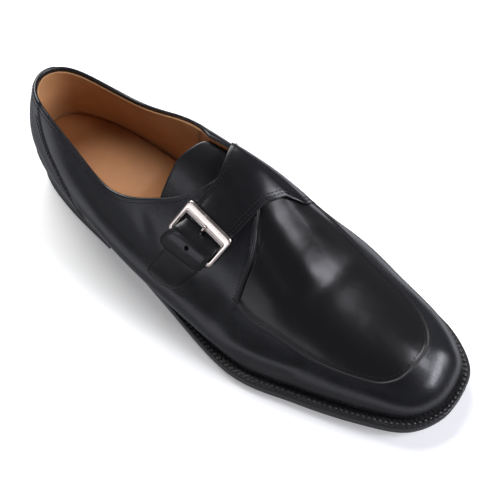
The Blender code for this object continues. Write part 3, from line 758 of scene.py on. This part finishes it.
weltShape = {
    "columns": 900,
    "profile": [  # inset, height over the welt's underside
        (16, 3.8), (5.6, 3.8), (4.6, 3.8), (3.9, 3.78), (3.2, 3.76), (2.4, 3.74), (1.7, 3.72), (1.1, 3.66),
        (0.6, 3.46), (0.2, 3.1), (0.0, 2.5), (0.0, 1.4), (0.15, 0.6), (0.5, 0.15), (1.2, 0.0), (16, 0.0)],
    "topRows": 9, "stitchRow": 5,  # rows of the profile on the top face, and the one under the stitches
    "stitchInset": 2.6, "stitchPitch": 3.1, "stitchFrom": (84.0, 4.0),  # x: start and run
    "notchDepth": 0.6, "notchHalf": 1.5, "notchWave": (0.2, 0.8),
}
outsoleShape = {
    "columns": 420,
    "profile": [
        (16, 4.9), (1.3, 4.9), (0.75, 4.72), (0.45, 4.3), (0.4, 3.7), (0.42, 2.9), (0.75, 2.72), (0.75, 2.6),
        (0.45, 2.42), (0.48, 1.3), (0.7, 0.55), (1.2, 0.12), (2.0, 0.0), (16, 0.0)],
}
sockShape = {
    "columns": 220, "inset": 3.7,  # from the feather line
    "profile": [
        (14, 0.0), (3.0, 0.0), (1.4, -0.08), (0.6, -0.35), (0.15, -0.9), (0.0, -1.6), (0.0, -2.9),
        (14, -3.0)],
}
heelShape = {
    "columns": 160, "breast": 79.0, "middle": 12,  # inset of the rows that close its top and underside
    "lifts": 4, "rowsPerLift": 9, "groove": 0.22, "grooveSharp": 9, "waist": 0.5,
    "topInset": 0.6, "lowInset": 1.95, "topPieceThick": 6.0,
    "topPieceProfile": [
        (12, 6.0), (2.25, 6.0), (1.95, 5.7), (2.2, 3.0), (2.5, 0.7), (2.8, 0.2), (3.4, 0.0), (12, 0.0)],
}


def carveWelt(points):
    # a notch pressed across the welt between each two stitches
    w = weltShape
    insets = np.array([row[0] for row in w["profile"]])
    where = hump((insets - w["stitchInset"]) / w["notchHalf"]) * (np.arange(len(insets)) < w["topRows"])
    points = points.copy()
    for side in (0, 1):
        middle = points[side, :, w["stitchRow"]]
        wave = np.cos(2 * np.pi * arcLength(middle) / w["stitchPitch"])
        notch = rise(wave, *w["notchWave"]) * rise(middle[:, 0], *w["stitchFrom"])
        points[side, :, :, 2] -= w["notchDepth"] * notch[:, None] * where[None]
    return points


def makeSole():
    # welt, outsole and sock: each profile's heights are added to the levels of the layers below
    s = soleShape
    weltLow = s["outsoleThick"] + s["gap"]
    sockTop = weltLow + s["weltThick"] + s["gap"] + s["insoleThick"]

    def sockInset(extra):
        # margin of the welt, plus the sock's own
        return lambda x: weltMargin(x) + sockShape["inset"] + extra

    profile = [(inset, overSole(weltLow + level)) for inset, level in weltShape["profile"]]
    points, faces = soleSolid(profile, weltShape["columns"], carve=carveWelt)
    addPiece("welt", points, faces, "edgeDressing", ["midsole"])
    profile = [(inset, overSole(level)) for inset, level in outsoleShape["profile"]]
    points, faces = soleSolid(profile, outsoleShape["columns"])
    addPiece("outsole", points, faces, "soleEdge", ["outsole"])
    profile = [(sockInset(inset), overSole(sockTop + level)) for inset, level in sockShape["profile"]]
    points, faces = soleSolid(profile, sockShape["columns"])
    addPiece("sock", points, faces, "sockCalf", ["insole"])


def makeHeel():
    # stacked lifts: the wall tapers to the floor, bows in a little and has a groove between each two lifts
    gap, h = soleShape["gap"], heelShape
    low = h["topPieceThick"] + gap
    profile = []
    for f in np.linspace(1, 0, h["lifts"] * h["rowsPerLift"] + 1):
        groove = h["groove"] * hump(((f * h["lifts"] + 0.5) % 1 - 0.5) * h["grooveSharp"])
        inset = h["topInset"] + (h["lowInset"] - h["topInset"]) * (1 - f)
        inset = inset + h["waist"] * math.sin(math.pi * f) + groove
        profile.append((inset, lambda x, f=f: low + (soleUnder(x) - gap - low) * f))
    profile = [(h["middle"], profile[0][1])] + profile + [(h["middle"], profile[-1][1])]
    points, faces = soleSolid(profile, h["columns"], h["breast"])
    addPiece("heelStack", points, faces, "edgeDressing", ["heel"])
    profile = [(inset, flatLevel(level)) for inset, level in h["topPieceProfile"]]
    points, faces = soleSolid(profile, h["columns"], h["breast"])
    addPiece("heelTopPiece", points, faces, "heelRubber", ["heel_top_piece"])


makeSole()
makeHeel()
print("sole made")


# Tongue, strap and chape: strips laid over the instep

tongueShape = {
    "rows": np.array([  # across, back edge, front edge, lift of its under face, thickness
        (-0.52, 0.385, 0.565, -5.5, 1.8), (-0.40, 0.366, 0.565, -5.5, 1.8), (-0.31, 0.354, 0.565, -5.5, 1.8),
        (-0.21, 0.344, 0.565, -5.5, 1.8), (-0.11, 0.348, 0.565, -5.6, 1.8), (-0.02, 0.358, 0.565, -5.8, 1.8),
        (0.05, 0.375, 0.565, -6.6, 1.8)]),
    "stations": 90, "cells": 60, "tipRadius": 0.0, "crown": 0.0, "shadeBand": 0.0, "holes": [],
}
strapShape = {
    "rows": np.array([
        (-0.535, 0.425, 0.521, 5.1, 2.2), (-0.508, 0.424, 0.522, 5.5, 2.2), (-0.485, 0.426, 0.523, 5.8, 2.2),
        (-0.465, 0.431, 0.525, 5.9, 2.2), (-0.445, 0.436, 0.527, 5.5, 2.2), (-0.425, 0.439, 0.529, 4.2, 2.2),
        (-0.409, 0.442, 0.530, 2.9, 2.2), (-0.383, 0.444, 0.534, 1.5, 2.2),
        (-0.315, 0.447, 0.545, 1.4, 2.2), (-0.250, 0.449, 0.551, 1.4, 2.2), (-0.185, 0.449, 0.557, 1.4, 2.2),
        (-0.110, 0.438, 0.563, 1.4, 2.2), (-0.050, 0.428, 0.577, 1.4, 2.2), (0.000, 0.422, 0.588, 1.4, 2.2),
        (0.060, 0.424, 0.606, 1.3, 1.7), (0.140, 0.430, 0.622, 0.9, 1.4), (0.250, 0.438, 0.618, 0.4, 1.1),
        (0.400, 0.448, 0.598, -0.3, 1.1)]),
    "stations": 190, "cells": 56, "tipRadius": 3.4, "crown": 0.5, "shadeBand": 1.6,
    "holes": [  # along, across, radius
        (0.479, -0.478, 1.1), (0.491, -0.399, 1.2)],
}
chapeShape = {
    "rows": np.array([
        (-0.738, 0.436, 0.458, 0.5, 1.1), (-0.725, 0.425, 0.473, 0.5, 1.2), (-0.700, 0.418, 0.486, 0.5, 1.2),
        (-0.660, 0.420, 0.497, 0.5, 1.2), (-0.600, 0.427, 0.508, 0.5, 1.2),
        (-0.520, 0.434, 0.517, 0.5, 1.2)]),
    "stations": 60, "cells": 40, "tipRadius": 0.0, "crown": 0.35, "shadeBand": 0.5, "holes": [],
}
stripShape = {
    "tipEven": 0.75, "tipPace": 230,  # share of even stations at a round tip, millimetres for each unit along
    "crownPower": 6, "holeDepth": 0.85, "holeRim": 0.45,
    "shadeBandBlend": 0.8, "shadeBandFrom": (-0.44, -0.02),  # across: start and run of the free end, where the band of painted shade lies
    "rimRings": 5, "rimRoundness": 0.55,
}


def stripGrid(shape):
    # stations run across the instep; at a round tip both edges draw in along a quarter circle
    rows, radius, even = shape["rows"], shape["tipRadius"], stripShape["tipEven"]
    u = np.linspace(0, 1, shape["stations"])
    if radius:
        u = u * even + (1 - even) * u ** 3
    across = rows[0, 0] + (rows[-1, 0] - rows[0, 0]) * u
    back, front, lift, thick = tableCurves(rows, across)
    if radius:
        middle = overSkin((back + front) / 2, across, lift)
        gone = np.clip(radius - arcLength(middle), 0, radius)
        draw = (radius - np.sqrt(radius ** 2 - gone ** 2)) / stripShape["tipPace"]
        back, front = back + draw, front - draw
    v = np.linspace(0, 1, shape["cells"] + 1)
    along = front[:, None] + (back - front)[:, None] * v[None]
    return along, *[np.broadcast_to(a[:, None], along.shape) for a in (across, lift, thick)]


def makeStrip(name, shape):
    # a sheet between its under face and its crowned outer face, with holes sunk into it;
    # its band is the width of painted shade: a near-black strip along the edges of a free end, standing in
    # for the shade at the strap's edge
    s = stripShape
    along, across, lift, thick = stripGrid(shape)
    v = np.linspace(-1, 1, along.shape[1])[None]
    outer = overSkin(along, across, lift + thick - shape["crown"] * v ** s["crownPower"])
    inner = overSkin(along, across, lift)
    flat = overSkin(along, across, 0 * lift)
    sunk, edge = np.zeros(along.shape), np.zeros(along.shape)
    # each hole is sunk into the sheet and marked; the strap finish paints the mark near black as painted
    # shade inside the hole
    for place in shape["holes"]:
        holeAlong, holeAcross, radius = np.array(place)[:, None]
        far = np.linalg.norm(flat - overSkin(holeAlong, holeAcross, np.zeros(1))[0], axis=-1)
        sunk = np.maximum(sunk, passing(radius - far, s["holeRim"]))
    # the band is painted shade: a near-black strip along the free end's edges, standing in for the shade at
    # the strap's edge
    if shape["shadeBand"]:
        half = np.linalg.norm(outer[:, 0] - outer[:, -1], axis=-1)[:, None] / 2
        near = np.minimum(half * (1 - np.abs(v)), arcLength(outer[:, along.shape[1] // 2])[:, None])
        edge = passing(shape["shadeBand"] - near, s["shadeBandBlend"]) * rise(across, *s["shadeBandFrom"])
    outer = outer - (outer - inner) * s["holeDepth"] * sunk[..., None]
    points, faces, values = closedShell(outer, inner, gridFaces(*along.shape), {"holeShade": sunk, "edge": edge},
                                        s["rimRings"], s["rimRoundness"])
    addPiece(name, points, faces, "strapCalf", [name], values)


for name, shape in (("tongue", tongueShape), ("strap", strapShape), ("chape", chapeShape)):
    makeStrip(name, shape)
print("tongue and straps made")


# Buckle

buckleShape = {
    "along": 0.484, "t": 0.585, "turn": 6.0, "lift": 4.5, "tilt": 0.8, "reach": 8.2, "axisStep": 0.01,
    "outer": (-16.2, 16.2, -11.9, 9.6), "outerRadius": 2.6,  # fore low and high, down low and high
    "inner": (-13.4, 13.4, -4.5, 6.8), "innerRadius": 0.9,
    "cornerSteps": 12, "bevelSteps": 5,
    "thick": 2.2, "bevel": 1.6, "bevelDrop": 0.8, "innerBevel": 0.6, "innerDrop": 0.5,
    "bevelMost": 0.4, "innerMost": 0.2,  # share of the bar's width
    "ledge": 0.36, "step": 0.4, "slope": 0.45,  # a low ledge along the inner part of the bars, falling inward
    "ledgeHalf": 0.2,
    "prong": np.array([  # down the strap, out from the instep, diameter
        (6.4, 3.3, 1.5), (3.0, 2.6, 1.5), (0.6, 2.1, 1.3), (-1.3, 2.1, 1.2), (-2.9, 4.6, 1.2),
        (-4.3, 6.8, 1.4), (-5.6, 7.2, 1.5), (-7.1, 7.1, 1.2)]),
    "prongStations": 70, "prongSides": 17, "endPower": 20, "endLeast": 0.02,
}


def buckleAxes():
    # centre on the last, then forward, down and out from the wall there, turned a little about the last one
    b = buckleShape
    angle, side, t = toAngle(np.array([b["along"]])), np.array([-1.0]), np.array([b["t"]])
    centre = skin(angle, side, t, np.zeros(1))[0]
    out = lastNormal(angle, side, t)[0]
    fore = (lastPoint(angle + b["axisStep"], side, t) - lastPoint(angle - b["axisStep"], side, t))[0]
    fore = unit(fore - out * fore.dot(out))
    down = np.cross(fore, out)
    c, s = math.cos(math.radians(b["turn"])), math.sin(math.radians(b["turn"]))
    return centre, fore * c + down * s, down * c - fore * s, out


def roundedBox(box, radius, steps):
    # rectangle with round corners, `steps` points on each corner arc and each straight side
    a, b, c, d = box
    turn = np.linspace(0, np.pi / 2, steps)
    corners = [(b - radius, c + radius, -np.pi / 2), (b - radius, d - radius, 0),
               (a + radius, d - radius, np.pi / 2), (a + radius, c + radius, np.pi)]
    arcs = [np.column_stack([x + radius * np.cos(start + turn), y + radius * np.sin(start + turn)])
            for x, y, start in corners]
    parts = []
    for arc, after in zip(arcs, arcs[1:] + arcs[:1]):
        parts.append(arc)
        parts.append(arc[-1] + (after[0] - arc[-1]) * np.linspace(0, 1, steps + 2)[1:-1, None])
    return np.concatenate(parts)


def makeFrame(centre, fore, down, out):
    # a bevelled profile between an inner and an outer rounded rectangle
    b = buckleShape
    inner = roundedBox(b["inner"], b["innerRadius"], b["cornerSteps"])
    outer = roundedBox(b["outer"], b["outerRadius"], b["cornerSteps"])
    width = np.linalg.norm(outer - inner, axis=1)
    bevel = np.minimum(b["bevel"], b["bevelMost"] * width)
    innerBevel = np.minimum(b["innerBevel"], b["innerMost"] * width)
    high, ledge = b["thick"] / 2, b["ledge"] * width
    lip = high - b["step"] - b["slope"]
    turn = np.linspace(0, np.pi / 2, b["bevelSteps"])
    arc = [(1 - math.sin(a), 1 - math.cos(a)) for a in turn]
    ring = [(innerBevel * x, lip - b["innerDrop"] * z) for x, z in arc[::-1]]
    ring += [(ledge - b["ledgeHalf"], high - b["step"]), (ledge + b["ledgeHalf"], high)]
    ring += [(width - bevel * x, high - b["bevelDrop"] * z) for x, z in arc]
    ring += [(width - bevel * x, -high + b["bevelDrop"] * z) for x, z in arc[::-1]]
    ring += [(innerBevel * x, -high + b["innerDrop"] * z) for x, z in arc]
    reach = (outer - inner) / width[:, None]
    rows = []
    for across, height in ring + ring[:1]:
        flat = inner + reach * np.asarray(across)[:, None]
        lift = b["lift"] - b["tilt"] * flat[:, 1] / b["reach"] + height
        rows.append(centre + flat[:, :1] * fore + flat[:, 1:] * down + lift[:, None] * out)
    points = np.stack(rows, axis=1)
    addPiece("buckleFrame", points, gridFaces(*points.shape[:2], wrap=True), "buckleSilver",
             ["buckle_frame"])


def makeProng(centre, fore, down, out):
    # a circle carried along the table's path, drawn in at both ends
    b, rod = buckleShape, buckleShape["prong"]
    stations, sides = b["prongStations"], b["prongSides"]
    rows = np.column_stack([np.arange(len(rod)), rod])
    low, high, size = tableCurves(rows, np.linspace(0, len(rod) - 1, stations))
    path = centre + low[:, None] * down + high[:, None] * out
    across = np.broadcast_to(fore, path.shape)
    over = np.cross(unit(np.gradient(path, axis=0)), across)
    ends = np.square(np.linspace(-1, 1, stations)) ** b["endPower"]
    radius = (size * np.sqrt(np.clip(1 - ends, b["endLeast"], 1)) / 2)[:, None, None]
    turn = np.linspace(0, 2 * np.pi, sides)[None, :, None]
    points = path[:, None] + radius * (np.cos(turn) * across[:, None] + np.sin(turn) * over[:, None])
    caps = [path[[i], None].repeat(sides, 1) for i in (0, -1)]
    points = np.concatenate([caps[0], points, caps[1]], axis=0)
    addPiece("buckleProng", points, gridFaces(*points.shape[:2]), "buckleSilver",
             ["buckle_prong"])


makeFrame(*buckleAxes())
makeProng(*buckleAxes())
print("buckle made")


# Stitches: small ellipsoids set along rows on the surface

stitchShape = {
    "small": {"pitch": 2.3, "length": 1.9, "width": 0.55, "height": 0.5},
    "tack": {"pitch": 0.9, "length": 1.3, "width": 1.3, "height": 0.8},
    "heavy": {"pitch": weltShape["stitchPitch"], "length": 2.0, "width": 1.5, "height": 0.9},
    "rings": 5, "spokes": 7, "sharp": 80,
    "paceStep": 0.01, "rowStep": 0.003, "wallRounds": (6, 24),
    "upright": 0.2,  # a normal that leans down less than this still counts as pointing out
    "proud": 0.05, "counterProud": 0.03, "strapProud": 0.02, "weltProud": 0.02,
    "apron": (0.625, 2.4, 160),  # along, distance from the seam, points
    "collar": [(-1.0, 0.425), (1.0, 0.40)],  # side, along
    "collarRow": (2.6, 160),  # distance from the rim, points
    "quarter": [(-1.0, 0.566, 0.6105), (1.0, 0.575, 0.606)],  # side, along at its top and low end
    "quarterRow": (2.3, 60), "tackReach": np.array([-0.013, 0.004]),
    "counter": [(-1.0, 36.0, 74.0), (1.0, 36.0, 70.0)],  # side, low and high end
    "counterRows": (1.9, 3.7), "counterPoints": 70,
    "strap": (-0.36, 0.33, 120),  # across from, to, points
    "strapRows": [("front", -1.7), ("front", -3.6), ("back", 2.0)],
    "chape": (-0.53, -0.732, 60), "chapeLift": 1.75, "chapeInset": -1.3,
}


def stitchRow(path, normals, pitch, length, width, height):
    # evenly spaced grains, each a unit ball stretched along the row and flattened on the leather
    travel = arcLength(path)
    count = max(int(travel[-1] / pitch), 1)
    at = (np.arange(count) + 0.5) * travel[-1] / count
    centre, normal, run = [np.stack([np.interp(at, travel, line[:, i]) for i in range(3)], axis=-1)
                           for line in (path, normals, np.gradient(path, axis=0))]
    normal = unit(normal)
    run = unit(run - normal * np.sum(run * normal, axis=-1, keepdims=True))
    side = np.cross(normal, run)
    rings, spokes = stitchShape["rings"], stitchShape["spokes"]
    polar = np.linspace(0, np.pi, rings)[:, None]
    turn = np.linspace(0, 2 * np.pi, spokes)
    x = np.cos(polar) * np.ones(spokes) * length / 2
    y = np.sin(polar) * np.cos(turn) * width / 2
    z = np.sin(polar) * np.sin(turn) * height / 2
    points = centre[:, None, None] + sum(
        part[None, ..., None] * axis[:, None, None] for part, axis in ((x, run), (y, side), (z, normal)))
    faces = gridFaces(rings, spokes)[None] + (np.arange(count) * rings * spokes)[:, None, None]
    return points.reshape(-1, 3), faces.reshape(-1, 4)


def addStitches(name, rows, finish):
    # the rows' points one after another, and their faces moved on by the points before them
    starts = np.cumsum([0] + [len(points) for points, _ in rows])
    points = np.concatenate([points for points, _ in rows])
    faces = np.concatenate([faces + start for (_, faces), start in zip(rows, starts)])
    addPiece(name, points, faces, finish, [], sharp=stitchShape["sharp"])


def rowOnSkin(along, across, lift, inset):
    # a path moved sideways by `inset` within the surface: the move is split into steps along and across
    def at(a, c):
        return overSkin(a, c, lift)

    e = stitchShape["rowStep"]
    point = at(along, across)
    da = (at(along + e, across) - at(along - e, across)) / (2 * e)
    dc = (at(along, across + e) - at(along, across - e)) / (2 * e)
    normal = unit(np.cross(da, dc))
    normal = normal * np.sign(normal[:, 2:3] + stitchShape["upright"])
    move = np.cross(unit(np.gradient(point, axis=0)), normal) * inset
    aa, ac, cc = [np.sum(p * q, axis=1) for p, q in ((da, da), (da, dc), (dc, dc))]
    ma, mc = np.sum(da * move, axis=1), np.sum(dc * move, axis=1)
    det = aa * cc - ac * ac
    return at(along + (ma * cc - mc * ac) / det, across + (mc * aa - ma * ac) / det), normal


def wallPlace(x, z, side):
    # angle and place up the section of a point on the wall, by halving for the height and the length in turn
    angle, zero = toAngle(x / soleShape["length"]), np.zeros_like(x)
    turns, rounds = stitchShape["wallRounds"]
    for _ in range(turns):
        t = halved(lambda middle: lastPoint(angle, side, middle)[..., 2] < z, zero, zero + 1, rounds)
        angle = halved(lambda middle: lastPoint(middle, side, t)[..., 0] < x, zero, zero + np.pi, rounds)
    return angle, t


def makeStitches():
    # rows of small stitches on the seams, sewn on the wall by angle or on the instep by place across
    s, rows = stitchShape, []
    step = s["paceStep"]

    def sewWall(angle, side, t, lift):
        rows.append(stitchRow(skin(angle, side, t, lift), lastNormal(angle, side, t), **s["small"]))

    def sewInstep(along, across, lift, inset, size="small"):
        rows.append(stitchRow(*rowOnSkin(along, across, lift, inset), **s[size]))

    # apron: round the toe inside the seam
    start, inset, points = s["apron"]
    angle = np.linspace(toAngle(start), np.pi, points)
    for side in (-1.0, 1.0):
        t = seamT(angle, side)
        sewWall(angle, side, t + inset / wallPace(angle, side, t - step, t + step), s["proud"])
    # collar: below the rim, from the throat round the heel
    inset, points = s["collarRow"]
    for side, end in s["collar"]:
        angle = np.linspace(0.0, toAngle(end), points)
        t = collarT(angle, side)
        t = t - inset / wallPace(angle, side, t - 2 * step, t)
        sewWall(angle, side, t, upperLift(angle, side, t)[0] + s["proud"])
    # quarter: a bar tack at the lower end of its front edge, and on the outer side a row behind the edge
    inset, points = s["quarterRow"]
    for side, top, low in s["quarter"]:
        along = np.linspace(top, low, points)
        across = side * (1 - seamT(toAngle(along), side))
        lift = seamHeight(toAngle(along)) + s["proud"]
        if side < 0:
            sewInstep(along, across, lift, inset)
        sewInstep(low + s["tackReach"], np.repeat(across[-1:], 2), lift[-2:], 0.0, "tack")
    # counter: two rows behind its edge
    for side, low, high in s["counter"]:
        z = np.linspace(low, high, s["counterPoints"])
        for back in s["counterRows"]:
            angle, t = wallPlace(counterX(z, side) - back, z, side)
            sewWall(angle, side, t, upperLift(angle, side, t)[0] + s["counterProud"])
    # strap: two rows inside the front edge, one inside the back edge
    across = np.linspace(*s["strap"])
    back, front, under, thick = tableCurves(strapShape["rows"], across)
    for edge, inset in s["strapRows"]:
        sewInstep(front if edge == "front" else back, across, under + thick + s["strapProud"], inset)
    # chape: a U inside its edge
    across = np.linspace(*s["chape"])
    back, front = tableCurves(chapeShape["rows"], across)[:2]
    along = np.concatenate([back, front[::-1]])
    across = np.concatenate([across, across[::-1]])
    sewInstep(along, across, np.full(len(along), s["chapeLift"]), s["chapeInset"])
    addStitches("seamStitches", rows, "waxedThread")


def makeWeltStitches():
    # one heavy row round the edge, on the welt's top face
    w, rows = weltShape, []
    for side in outlineLoop(lambda x: w["stitchInset"], w["columns"]):
        path = np.column_stack([side, weltTop(side[:, 0]) + stitchShape["weltProud"]])
        path = path[path[:, 0] > w["stitchFrom"][0]]
        rows.append(stitchRow(path, np.tile((0.0, 0.0, 1.0), (len(path), 1)), **stitchShape["heavy"]))
    addStitches("weltStitches", rows, "weltThread")


makeStitches()
makeWeltStitches()
print("stitches made")


# Floor, light and camera

studio = {
    "floor": (0.88, 0.88, 0.88), "floorRoughness": 0.8, "floorReach": 30.0,
    "floorGlow": (0.26, 0.72), "glowReach": (0.5, 2.2),  # brightness near and far, metres
    "backdrop": (0.86, 0.86, 0.86),
    "sky": [  # height of the direction, minus below the horizon, and brightness
        (-1.0, 0.25), (-0.62, 0.30), (-0.44, 1.3), (-0.32, 1.3), (-0.19, 0.12), (0.06, 0.13), (0.3, 0.30),
        (0.6, 0.12), (1.0, 0.05)],
    "tint": (0.94, 0.95, 1.04),
    "lights": [  # name, place, aim, width and height, power
        ("frontSoftbox", (0.79, 0.37, 0.98), (0.05, 0.0, 0.06), (0.32, 0.50), 5.2),
        ("toeSoftbox", (1.06, 0.44, 0.54), (0.13, 0.0, 0.03), (0.9, 0.2), 10.0),
        ("rearSoftbox", (-0.75, 0.35, 1.1), (-0.05, 0.0, 0.05), (0.9, 0.7), 21.0),
        ("sideSoftbox", (-0.10, -1.10, 0.55), (0.0, -0.03, 0.05), (0.8, 0.3), 1.4),
        ("quarterSoftbox", (-0.68, -1.05, 0.14), (-0.03, -0.04, 0.04), (1.0, 0.34), 0.4),
        ("tongueSoftbox", (-0.32, -0.74, 0.86), (-0.03, -0.01, 0.08), (0.14, 0.14), 0.3)],
    "glossOnly": ("sideSoftbox", "quarterSoftbox", "tongueSoftbox"),
    "white": ("rearSoftbox",),
    "cameraPlace": (0.19524, -0.23305, 0.52975),
    "cameraYaw": 0.66858, "cameraDown": 58.79, "cameraRoll": 0.01076, "lens": 72.5, "sensor": 36.0,
}


def makeFloor():
    # one square; it glows a little, and more far off, where the softboxes do not reach
    size = studio["floorReach"]
    mesh = bpy.data.meshes.new("floor")
    corners = [(-size, -size, 0), (size, -size, 0), (size, size, 0), (-size, size, 0)]
    mesh.from_pydata(corners, [], [(0, 1, 2, 3)])
    floor = addObject("floor", mesh)
    item = bpy.data.materials.new("paleFloor")
    item.use_nodes = True
    tree = item.node_tree
    place = addNode(tree, "ShaderNodeTexCoord").outputs["Object"]
    far = addNode(tree, "ShaderNodeVectorMath", {0: place}, operation="LENGTH").outputs["Value"]
    glow = mapRange(tree, far, studio["glowReach"], studio["floorGlow"], "SMOOTHSTEP")
    feed(tree, tree.nodes["Principled BSDF"], {
        "Base Color": (*studio["floor"], 1), "Roughness": studio["floorRoughness"],
        "Emission Color": glow, "Emission Strength": 1.0})
    mesh.materials.append(item)
    floor.visible_glossy = False  # keeps the black leather deep


def placeMatrix(axes, place):
    # the axes as columns, then the place
    return Matrix([(*row, p) for row, p in zip(np.column_stack(axes), place)] + [(0, 0, 0, 1)])


def aimMatrix(place, aim):
    # a lamp's axes: back from the aim, level to the right, and up square to both
    back = unit(np.array(place, float) - np.array(aim, float))
    right = unit(np.cross((0.0, 0.0, 1.0), back))
    return placeMatrix([right, np.cross(back, right), back], place)


def makeWorld():
    # dim overhead and at the horizon; below it is what gloss sees in place of the floor
    world = bpy.data.worlds.new("studioWorld")
    bpy.context.scene.world = world
    world.use_nodes = True
    tree = world.node_tree
    place = addNode(tree, "ShaderNodeTexCoord").outputs["Generated"]
    height = addNode(tree, "ShaderNodeSeparateXYZ", {0: place}).outputs["Z"]
    sky = addNode(tree, "ShaderNodeValToRGB", {"Fac": mapRange(tree, height, (-1.0, 1.0))})
    ramp = sky.color_ramp
    ramp.interpolation = "EASE"
    while len(ramp.elements) < len(studio["sky"]):
        ramp.elements.new(0.5)
    for element, (level, bright) in zip(ramp.elements, studio["sky"]):
        element.position = (level + 1) / 2
        element.color = (*(bright * np.array(studio["tint"])), 1)
    seen = addNode(tree, "ShaderNodeLightPath").outputs["Is Camera Ray"]
    shown = mixBy(tree, "RGBA", seen, sky.outputs["Color"], (*studio["backdrop"], 1))
    feed(tree, tree.nodes["Background"], {"Color": shown})
    bpy.context.scene.view_settings.view_transform = "Standard"


def makeLights():
    # softboxes that the camera does not see; those in glossOnly show in the gloss alone
    for name, place, aim, size, power in studio["lights"]:
        data = bpy.data.lights.new(name, "AREA")
        data.shape, data.size, data.size_y, data.energy = "RECTANGLE", size[0], size[1], power
        data.color = (1, 1, 1) if name in studio["white"] else studio["tint"]
        lamp = addObject(name, data)
        lamp.matrix_world = aimMatrix(place, aim)
        lamp.visible_camera = False
        lamp.visible_diffuse = name not in studio["glossOnly"]


def makeCamera():
    # stands where the photo was taken from and looks at the middle of the one shoe
    yaw, dip, roll = studio["cameraYaw"], math.radians(studio["cameraDown"]), studio["cameraRoll"]
    ahead = np.array([-math.sin(yaw) * math.cos(dip), math.cos(yaw) * math.cos(dip), -math.sin(dip)])
    right = np.array([math.cos(yaw), math.sin(yaw), 0.0])
    down = np.cross(ahead, right)
    across = math.cos(roll) * right + math.sin(roll) * down
    below = -math.sin(roll) * right + math.cos(roll) * down
    data = bpy.data.cameras.new("photoCamera")
    data.sensor_width, data.lens = studio["sensor"], studio["lens"]
    camera = addObject("photoCamera", data)
    camera.matrix_world = placeMatrix([across, -below, -ahead], studio["cameraPlace"])
    bpy.context.scene.camera = camera


makeFloor()
makeWorld()
makeLights()
makeCamera()

print("scene done")
